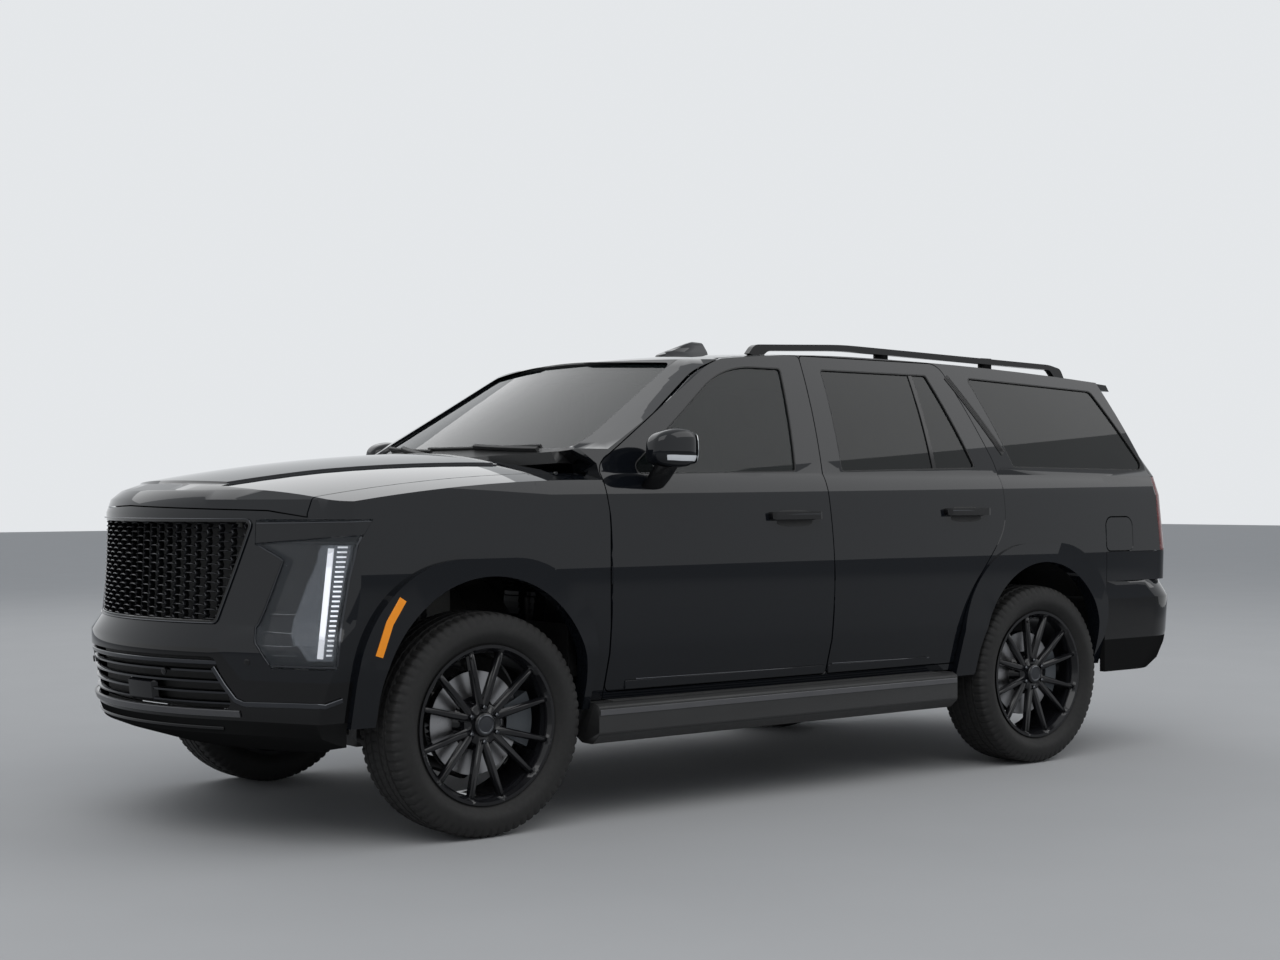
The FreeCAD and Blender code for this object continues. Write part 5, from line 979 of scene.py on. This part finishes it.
def make_side(name, side):
    """Window seals, door lines, pillar vent, running board, marker and handle cups of one side."""
    front_door, rear_door = f"front_door_{name}", f"rear_door_{name}"

    def trim(key, path, look, body, width, height, out=0.0, closed=False, sink=0.003):
        strip(f"{key}_{name}", path, side_gap, look, body, width, height, out, closed, side, sink)

    for key, corners, body in (("front_window", FRONT_WINDOW, front_door), ("rear_window", REAR_WINDOW, rear_door),
                               ("quarter_window", QUARTER_WINDOW, "body_shell")):
        seal = side_path(rounded(corners, 9), 170, True)
        trim(f"{key}_seal", seal, "rubber", body, 0.011, 0.0016, -0.002, True, 0.008)
    divider = side_path([(-0.717, 1.800), (-0.745, 1.368)], 30)
    trim("rear_window_divider", divider, "gloss", rear_door, 0.024, 0.006, -0.008)
    trim("pillar_vent", side_path([(-0.952, 1.802), (-1.222, 1.452)], 40), "rubber", "body_shell", 0.034, 0.003)
    for key, start, end, body in (("front", 0.960, -0.040, front_door), ("rear", -0.090, -0.690, rear_door)):
        line = side_path([(start, 0.541), (end, 0.533)], 60)
        trim(f"{key}_door_line", line, "dark_bright", body, 0.009, 0.0028)
    ribs = []
    for offset in (-0.010, 0.0, 0.010):
        path = side_path([(-0.962 + offset, 1.796), (-1.214 + offset, 1.460)], 36)
        ribs.append(bar(settle(path, side_gap, 0.003), side_gap, strip_profile(0.0035, 0.0016, 0.001), side))
    fused(f"pillar_vent_ribs_{name}", ribs, "gloss")
    board = through([(xf(0.476), BOARD_FACE - 0.001, BOARD_LEVEL), (xf(2.460), BOARD_FACE - 0.001, BOARD_LEVEL)], 60)
    strip(f"board_strip_{name}", board, lambda p: np.abs(p[:, 1]) - BOARD_FACE, "strip", "body_shell", 0.022, 0.0035,
          side=side)
    treads = []
    for y in np.linspace(0.905, 0.995, 7):
        path = through([(xf(0.56), y * side, BOARD_TOP), (xf(2.38), y * side, BOARD_TOP)], 40)
        treads.append(carried(path, strip_profile(0.006, 0.0025, 0.002), UPRIGHT))
    fused(f"board_treads_{name}", treads, "rubber")
    trim("amber_marker", through(MARKER_LINE, 24), "amber", "body_shell", 0.030, 0.002, 0.0285)
    for key, front, level, body in (("front", xf(1.352), 1.176, front_door), ("rear", xf(2.400), 1.184, rear_door)):
        u, v = grid((-1, 1, 25), (-1, 1, 13))
        hollow = np.maximum(np.abs(u) ** 3, np.abs(v) ** 3)
        x, z = front - 0.142 + u * 0.100, level - 0.012 + v * 0.034 * (1 - 0.35 * u ** 4)
        cup = np.stack([x, side_y(x, z) + 0.0008 * (hollow < 0.8), z], axis=-1)
        sheet(f"{key}_handle_cup_{name}", cup * [1, side, 1], "rubber", body, solid=0.002)
        path = side_path([(front - 0.020, level + 0.002), (front - 0.262, level + 0.002)], 20)
        trim(f"{key}_handle_key_strip", path, "dark_bright", body, 0.005, 0.0365)


# Mirrors
MIRROR_MIDDLE, MIRROR_HALF, MIRROR_CUT = np.array([0.878, 1.096, 1.444]), np.array([0.104, 0.062, 0.076]), 0.90
MIRROR_ARM = [(0.905, 1.112, 1.385), (0.900, 1.070, 1.352), (0.890, 1.020, 1.318), (0.882, 0.972, 1.290)]


def mirror_form(u, v):
    """The head: a drawn-out sphere, lower at its front, its rear end cut flat."""
    x, y, z = box_form(u, v, 0.55, 0.62, 0.62)
    z = z * (1 - 0.16 * np.maximum(x, 0)) - 0.10 * (x > 0) * x ** 2 + 0.06 * y
    y = y * (1 - 0.05 * np.maximum(x, 0))
    return np.stack([np.maximum(x, -MIRROR_CUT), y, z], axis=-1) * MIRROR_HALF + MIRROR_MIDDLE


def make_mirror(name, side):
    """A mirror's head, glass, turn lamp and arm."""
    body, turn = f"front_door_{name}", np.array([1, side, 1])
    u, v = grid((-math.pi, math.pi, 96, False), (-math.pi / 2, math.pi / 2, 49))
    head = mirror_form(u, v) * turn
    sheet(f"mirror_head_{name}", head, "paint", body, True, smooth=40.0, replaces=(f"mirror_{name}",))
    u, v = grid((-1, 1, 25), (-1, 1, 19))
    square = 1 - 0.18 * u ** 2 * v ** 2
    back = np.full(u.shape, MIRROR_MIDDLE[0] - MIRROR_HALF[0] * MIRROR_CUT - 0.0015)
    glass = [back, MIRROR_MIDDLE[1] + u * 0.050 * square, MIRROR_MIDDLE[2] + v * 0.062 * square]
    sheet(f"mirror_glass_{name}", np.stack(glass, axis=-1) * turn, "mirror_glass", body, solid=0.002)
    lamp = mirror_form(*np.radians(grid((62, 150, 30), (-34, -14, 9))))
    out = (lamp - MIRROR_MIDDLE) / MIRROR_HALF
    lamp = lamp + out / np.linalg.norm(out, axis=-1)[..., None] * 0.0016
    sheet(f"mirror_turn_lamp_{name}", lamp * turn, "clear_lens", body, solid=0.002)
    angle = np.linspace(0, 2 * math.pi, 20, endpoint=False)
    section = np.stack([np.cos(angle) * 0.058, np.sin(angle) * 0.017], axis=1)
    points, faces, caps = carried(through(MIRROR_ARM, 24), section, (0.0, -0.60, 0.80))
    piece(f"mirror_arm_{name}", points * turn, faces, "gloss", body, caps)


# Windscreen
SCREEN_FOOT_HALF, SCREEN_HEAD_HALF, SCREEN_NARROWS = 0.806, 0.667, 0.83
SCREEN_OUT, SCREEN_SINK, WIPER_FOOT = np.array([0.52, 0, 0.85]), 0.012, 0.075
SCREEN_EDGE = [(-0.80, 0.0), (-0.795, 0.99), (0.0, 0.995), (0.795, 0.99), (0.80, 0.0)]


def screen_point(y, share, out):
    """A point of the windscreen: a share of the way up from its foot arc to its head arc, stood off by out."""
    low, high = (y / SCREEN_FOOT_HALF) ** 2, (y * SCREEN_NARROWS / SCREEN_HEAD_HALF) ** 2
    foot = np.stack([xf(0.330) - 0.191 * low, y, 1.415 + 0.021 * low], axis=-1)
    head = np.stack([xf(1.040) - 0.086 * (y / SCREEN_HEAD_HALF) ** 2, y * SCREEN_NARROWS, 1.850 - 0.033 * high], axis=-1)
    return foot + (head - foot) * np.asarray(share)[..., None] + SCREEN_OUT * (out - SCREEN_SINK)


def make_screen_trim():
    """The wipers, each a blade and an arm, and the windscreen's seal."""
    for name, pivot, tip, rise in (("left", 0.62, -0.10, 0.10), ("right", -0.05, -0.70, 0.12)):
        blade = screen_point(np.linspace(pivot, tip, 30), np.linspace(WIPER_FOOT, rise, 30), 0.012)
        across = np.linspace(pivot + 0.02, (pivot + tip) / 2, 20)
        arm = screen_point(across, np.linspace(0.02, (WIPER_FOOT + rise) / 2, 20), 0.026)
        fused(f"wiper_{name}", [carried(blade, strip_profile(0.012, 0.010, 0.008), SCREEN_OUT),
                                carried(arm, strip_profile(0.018, 0.006, 0.008), SCREEN_OUT)], "rubber")
    path = screen_point(*through(SCREEN_EDGE, 120).T, 0.004)
    fused("screen_seal", [carried(path, strip_profile(0.016, 0.003, 0.006), SCREEN_OUT)], "rubber")


# Tail
PANEL_THICK, PANEL_CORNER, PANEL_RINGS = 0.004, 0.020, (0.02, 0.35, 0.7, 0.93, 0.985, 1.0)
REAR_GLASS = [(-0.775, 1.352, 0.060), (-0.640, 1.775, 0.060), (0.640, 1.775, 0.060), (0.775, 1.352, 0.060)]
BUMPER_BOW, REFLECTOR_Y = 2.714, 0.62
REFLECTOR_PROFILE = [(-0.01, 0.0), (-0.01, 0.030), (0.003, 0.030), (0.005, 0.026), (0.005, 0.0)]
CORNER_LOW, CORNER_HIGH, CORNER_FOOT_IN, CORNER_RADIUS = 0.838, 0.9805, 0.030, 0.130


def tail_path(yz, count, closed=False):
    y, z = run(yz, count, closed).T
    return np.stack([tail_x(y, z), y, z], axis=1)


def tail_panel(name, half, low, high, look, out):
    """A rounded panel that lies on the gate's surface."""
    corners = ((-half, low), (-half, high), (half, high), (half, low))
    path = tail_path(rounded([(y, z, PANEL_CORNER) for y, z in corners]), 96, True)
    level = (low + high) / 2
    middle = np.array([tail_x(0.0, level), 0.0, level])
    rings = [settle(middle + (path - middle) * share, tail_gap, out * (share < 0.999)) for share in PANEL_RINGS]
    points = np.stack(rings + [settle(path, tail_gap, -PANEL_THICK)])
    piece(name, points, grid_faces(len(points), 96, False, True), look, "tailgate", (range(96),))


def corner_plan(z, depth):
    """The body seen from above at a level: its side from the wheel arch, then an arc round to the gate."""
    half = np.interp(z, [0.700, 0.985], [0.986, 0.990])
    far = GATE_TAIL + np.interp(z, TAIL_PROFILE[:, 0], TAIL_PROFILE[:, 1]) + TAIL_BOW
    y_mid, reach = half - CORNER_RADIUS, TAIL_BOW - CORNER_RADIUS
    x_mid = far - math.sqrt(reach ** 2 - y_mid ** 2)
    turn = np.linspace(0, math.pi / 2 - math.asin(y_mid / reach), 18)[1:]
    r = CORNER_RADIUS - depth
    x = np.concatenate([np.linspace(xr(0.474), x_mid, 30), x_mid - r * np.sin(turn)])
    along = side_y(x[:30], z)
    y = np.concatenate([along + (half - along[-1]) * np.linspace(0, 1, 30) ** 2 - depth, y_mid + r * np.cos(turn)])
    return np.stack([x, y, np.full(len(x), z)], axis=1)


def make_corner(name, side):
    """The body skin between tail lamp and bumper, its foot turned in onto the bumper's shelf."""
    rows = [corner_plan(CORNER_LOW, CORNER_FOOT_IN)]
    rows += [corner_plan(z, 0.0) for z in np.linspace(CORNER_LOW, CORNER_HIGH, 10)]
    sheet(f"bumper_corner_{name}", np.stack(rows) * [1, side, 1], "paint", solid=0.003)


def make_tail():
    """The gate's seal, plate, bars and wiper, and the lamp bars, strip and reflectors beside and below it."""
    strip("rear_window_seal", tail_path(rounded(REAR_GLASS, 9), 200, True), tail_gap, "rubber", "tailgate", 0.014,
          0.0016, -0.003, True, sink=0.006)
    tail_panel("rear_plate_recess", 0.300, 0.925, 1.090, "gloss", 0.0015)
    tail_panel("rear_plate", 0.152, 0.940, 1.072, "plate", 0.0045)
    for name, line, count, look, width, height, out in (
            ("rear_plate_lamp_bar", [(-0.560, 1.118), (0.560, 1.118)], 60, "dark_bright", 0.030, 0.010, 0.0),
            ("gate_handle", [(-0.110, 1.098), (0.110, 1.098)], 20, "rubber", 0.016, 0.008, 0.0),
            ("high_stop_lamp", [(-0.200, 1.800), (0.200, 1.800)], 30, "red_glow", 0.014, 0.004, 0.0),
            ("rear_wiper", [(0.0, 1.362), (0.040, 1.420), (0.330, 1.462)], 40, "rubber", 0.016, 0.012, -0.004)):
        strip(name, tail_path(line, count), tail_gap, look, "tailgate", width, height, out)
    for name, side in SIDES.items():
        path = tail_path([(0.905, 1.004), (0.905, 1.200), (0.888, 1.326)], 50)
        path = settle(path, lambda p: np.maximum(tail_gap(p), side_gap(p)))
        strip(f"tail_bar_{name}", path, tail_gap, "red_glow", "body_shell", 0.010, 0.0015, side=side)
        make_corner(name, side)
    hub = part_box("rear_bumper")[0].x + BUMPER_BOW
    y = np.linspace(-0.64, 0.64, 60)
    behind = np.sqrt(BUMPER_BOW ** 2 - y ** 2)
    path = np.stack([hub + 0.019 - behind, y, np.full(60, 0.578)], axis=1)
    normal = np.stack([-behind, y, np.zeros(60)], axis=1) / BUMPER_BOW
    fused("rear_bumper_strip", [carried(path, strip_profile(0.020, 0.006, 0.006), normal)], "strip")
    for name, side in SIDES.items():
        spot = (hub + 0.010 - math.sqrt(BUMPER_BOW ** 2 - REFLECTOR_Y ** 2), side * REFLECTOR_Y, 0.700)
        fused(f"rear_reflector_{name}", [turned(REFLECTOR_PROFILE, spot, (-0.97, side * 0.23, 0), 24)], "red_lens")


# Cabin
BACK_LEAN, BASE_LEAN, DISPLAY_MIDDLE = math.radians(-77), math.radians(-3), 0.31
DISPLAY_SECTION = [(-0.062, -0.006), (-0.062, 0.004), (-0.058, 0.007), (0.058, 0.007), (0.062, 0.004), (0.062, -0.006)]
POST_PROFILE = [(0, 0.0), (0, 0.006), (0.13, 0.006), (0.13, 0.0)]


def cushion(name, centre, half, crown, channels, lean, replaces=()):
    """A crowned closed form in leather, with sewn channels along it."""
    u, v = grid((-math.pi, math.pi, 72, False), (-math.pi / 2, math.pi / 2, 41))
    x, y, z = box_form(u, v, crown, crown, 0.55)
    lanes = np.abs(np.sin(y * math.pi * channels / 2)) if channels else np.ones_like(x)
    sewn = (1 - np.minimum(lanes * 3, 1)) * (np.abs(x) < 0.9) * (np.abs(y) < 0.9)
    z = z * (1 - 0.10 * sewn) * (1 + 0.05 * (1 - x ** 2) * (1 - y ** 2))
    x, y, z = x * half[0], y * half[1], z * half[2]
    cos, sin = math.cos(lean), math.sin(lean)
    points = np.stack([x * cos + z * sin, y, z * cos - x * sin], axis=-1) + np.array(centre)
    made = sheet(name, points, "leather", wrap=True, smooth=60.0, replaces=replaces)


def make_seat(name, front, y, width, base, height, replaces):
    """A seat in leather: base cushion with side bolsters, leaning back cushion, head restraint and rails."""
    cushion(f"{name}_base", (front - 0.290, y, base + 0.205), (0.270, width / 2 - 0.055, 0.070), 0.30, 4, BASE_LEAN,
            replaces)
    cushion(f"{name}_back", (front - 0.590, y, base + height / 2 + 0.120),
            (height / 2 - 0.125, width / 2 - 0.045, 0.060), 0.30, 4, BACK_LEAN)
    cushion(f"{name}_head_0", (front - 0.640, y, base + height + 0.115), (0.070, 0.122, 0.036), 0.45, 0, BACK_LEAN)
    posts = [turned(POST_PROFILE, (front - 0.643, y + d, base + height - 0.05), UPRIGHT, 12) for d in (-0.06, 0.06)]
    fused(f"{name}_posts_0", posts, "bright")
    for key, side in SIDES.items():
        cushion(f"{name}_bolster_{key}", (front - 0.300, y + side * (width / 2 - 0.038), base + 0.225),
                (0.245, 0.036, 0.062), 0.5, 0, BASE_LEAN)
    rails = []
    for side in (-1, 1):
        rail_y = y + (width / 2 - 0.1) * side
        path = [(front - 0.52, rail_y, base + 0.02), (front - 0.06, rail_y, base + 0.02)]
        rails.append(carried(path, strip_profile(0.05, 0.10, 0.02), UPRIGHT))
    fused(f"{name}_rails", rails, "inside")


def make_cabin():
    """Three rows of two seats, the headliner and the instrument display."""
    for key, side in SIDES.items():
        for row, front, y, width, base, height in (("front", xf(1.100), 0.435, 0.500, 0.600, 0.780),
                                                   ("middle", xf(1.955), 0.430, 0.520, 0.600, 0.760),
                                                   ("rear", xr(-0.330), 0.250, 0.500, 0.760, 0.640)):
            replaces = (f"{row}_seats",) if side > 0 else ()
            make_seat(f"{row}_seat_{key}", front, side * y, width, base, height, replaces)
    x, y = grid((xf(1.22), xr(0.46), 30), (-0.600, 0.600, 21))
    sheet("headliner", np.stack([x, y, roof_z(x, y) - 0.062], axis=-1), "headliner", solid=0.004)
    y = np.linspace(-0.02, 0.640, 40)
    path = np.stack([xf(0.800) - (y - DISPLAY_MIDDLE) ** 2 * 0.25, y, np.full(40, 1.345)], axis=1)
    fused("instrument_display", [carried(path, DISPLAY_SECTION, (-0.96, 0, 0.26))], "screen")


# Floor, light and camera
FLOOR_HALF = 60.0
SKY_LIGHT, BACKDROP = (0.42, 0.45, 0.49, 1), (0.78, 0.80, 0.82, 1)
# The photograph's camera, solved from places on the vehicle: ahead of the front axle, to its left, eye height
EYE, TILT, ROLL, HEADING = (FRONT_AXLE + 3.714, 6.698, 1.260), -0.03, 0.155, -127.717
PHOTO_WIDTH_PX, FOCAL_PX, HORIZON_DROP_PX, SENSOR_MM = 1280, 1845.8, 16.6, 36.0


def make_stage():
    """A pale level floor."""
    mesh = bpy.data.meshes.new("floor")
    mesh.from_pydata([(-FLOOR_HALF, -FLOOR_HALF, 0), (FLOOR_HALF, -FLOOR_HALF, 0), (FLOOR_HALF, FLOOR_HALF, 0),
                      (-FLOOR_HALF, FLOOR_HALF, 0)], [], [(0, 1, 2, 3)])
    floor = bpy.data.objects.new("floor", mesh)
    bpy.context.scene.collection.objects.link(floor)
    f = Finish("pale_floor", Roughness=0.85)
    f.give(Base_Color=f.mix(f.noise(1.5), grey(0.42), grey(0.45)))
    mesh.materials.append(f.material)


def area_lamp(name, place, target, size, power):
    """A rectangular lamp at a place, turned towards its target."""
    data = bpy.data.lights.new(name, "AREA")
    data.shape = "RECTANGLE"
    data.size, data.size_y = size
    data.energy = power
    lamp = bpy.data.objects.new(name, data)
    lamp.location = place
    lamp.rotation_euler = (Vector(target) - Vector(place)).to_track_quat("-Z", "Y").to_euler()
    bpy.context.scene.collection.objects.link(lamp)


def make_world():
    """Even sky light; the camera, glossy surfaces and clear ones see the pale backdrop."""
    world = bpy.data.worlds.new("studio")
    world.use_nodes = True
    bpy.context.scene.world = world
    tree = world.node_tree
    back = tree.nodes["Background"]
    path = tree.nodes.new("ShaderNodeLightPath")
    seen = path.outputs["Is Camera Ray"]
    for ray in ("Is Glossy Ray", "Is Transmission Ray"):
        both = tree.nodes.new("ShaderNodeMath")
        both.operation = "MAXIMUM"
        tree.links.new(seen, both.inputs[0])
        tree.links.new(path.outputs[ray], both.inputs[1])
        seen = both.outputs[0]
    pick = tree.nodes.new("ShaderNodeMix")
    pick.data_type = "RGBA"
    tree.links.new(seen, pick.inputs["Factor"])
    colours = [s for s in pick.inputs if s.type == "RGBA"]
    colours[0].default_value, colours[1].default_value = SKY_LIGHT, BACKDROP
    tree.links.new(next(s for s in pick.outputs if s.type == "RGBA"), back.inputs["Color"])
    back.inputs["Strength"].default_value = 1.0


def make_camera():
    """The photograph's viewpoint: eye height, a little ahead of the left front wheel."""
    data = bpy.data.cameras.new("photo_view")
    data.sensor_width = SENSOR_MM
    data.lens = FOCAL_PX / PHOTO_WIDTH_PX * SENSOR_MM
    data.shift_y = HORIZON_DROP_PX / PHOTO_WIDTH_PX
    data.clip_end = 200
    camera = bpy.data.objects.new("photo_view", data)
    camera.location = EYE
    camera.rotation_euler = [math.radians(angle) for angle in (90 + TILT, ROLL, HEADING - 90)]
    bpy.context.scene.collection.objects.link(camera)
    bpy.context.scene.camera = camera


# Nodes that new pieces stand for, besides the tyres
REPLACED = ("grille", "headlamps", "front_seats", "middle_seats", "rear_seats", "mirror_left", "mirror_right")
WHEELS = {"front_left": (FRONT_AXLE, 1), "front_right": (FRONT_AXLE, -1),
          "rear_left": (REAR_AXLE, 1), "rear_right": (REAR_AXLE, -1)}

for node_name in sorted(frame["nodes"]):
    if node_name not in REPLACED and not node_name.startswith("tyre_"):
        smooth_copy(node_name)
make_grille()
make_lower_front()
for corner_name, (axle_x, sign) in WHEELS.items():
    make_tyre(corner_name, axle_x, sign)
    make_wheel(corner_name, axle_x, sign)
for side_name, sign in SIDES.items():
    make_lamp(side_name, sign)
    make_side(side_name, sign)
    make_mirror(side_name, sign)
    make_rear_caliper(side_name, sign)
make_screen_trim()
make_tail()
make_cabin()

make_stage()
make_world()
area_lamp("key", (7.0, 8.0, 11.0), (0.0, 0.0, 0.8), (14.0, 9.0), 620)
area_lamp("fill", (-9.0, 7.0, 9.0), (0.0, 0.0, 0.8), (12.0, 8.0), 400)
area_lamp("back", (0.0, -11.0, 10.0), (0.0, 0.0, 1.0), (16.0, 9.0), 380)
make_camera()
bpy.context.scene.view_settings.view_transform = "Standard"
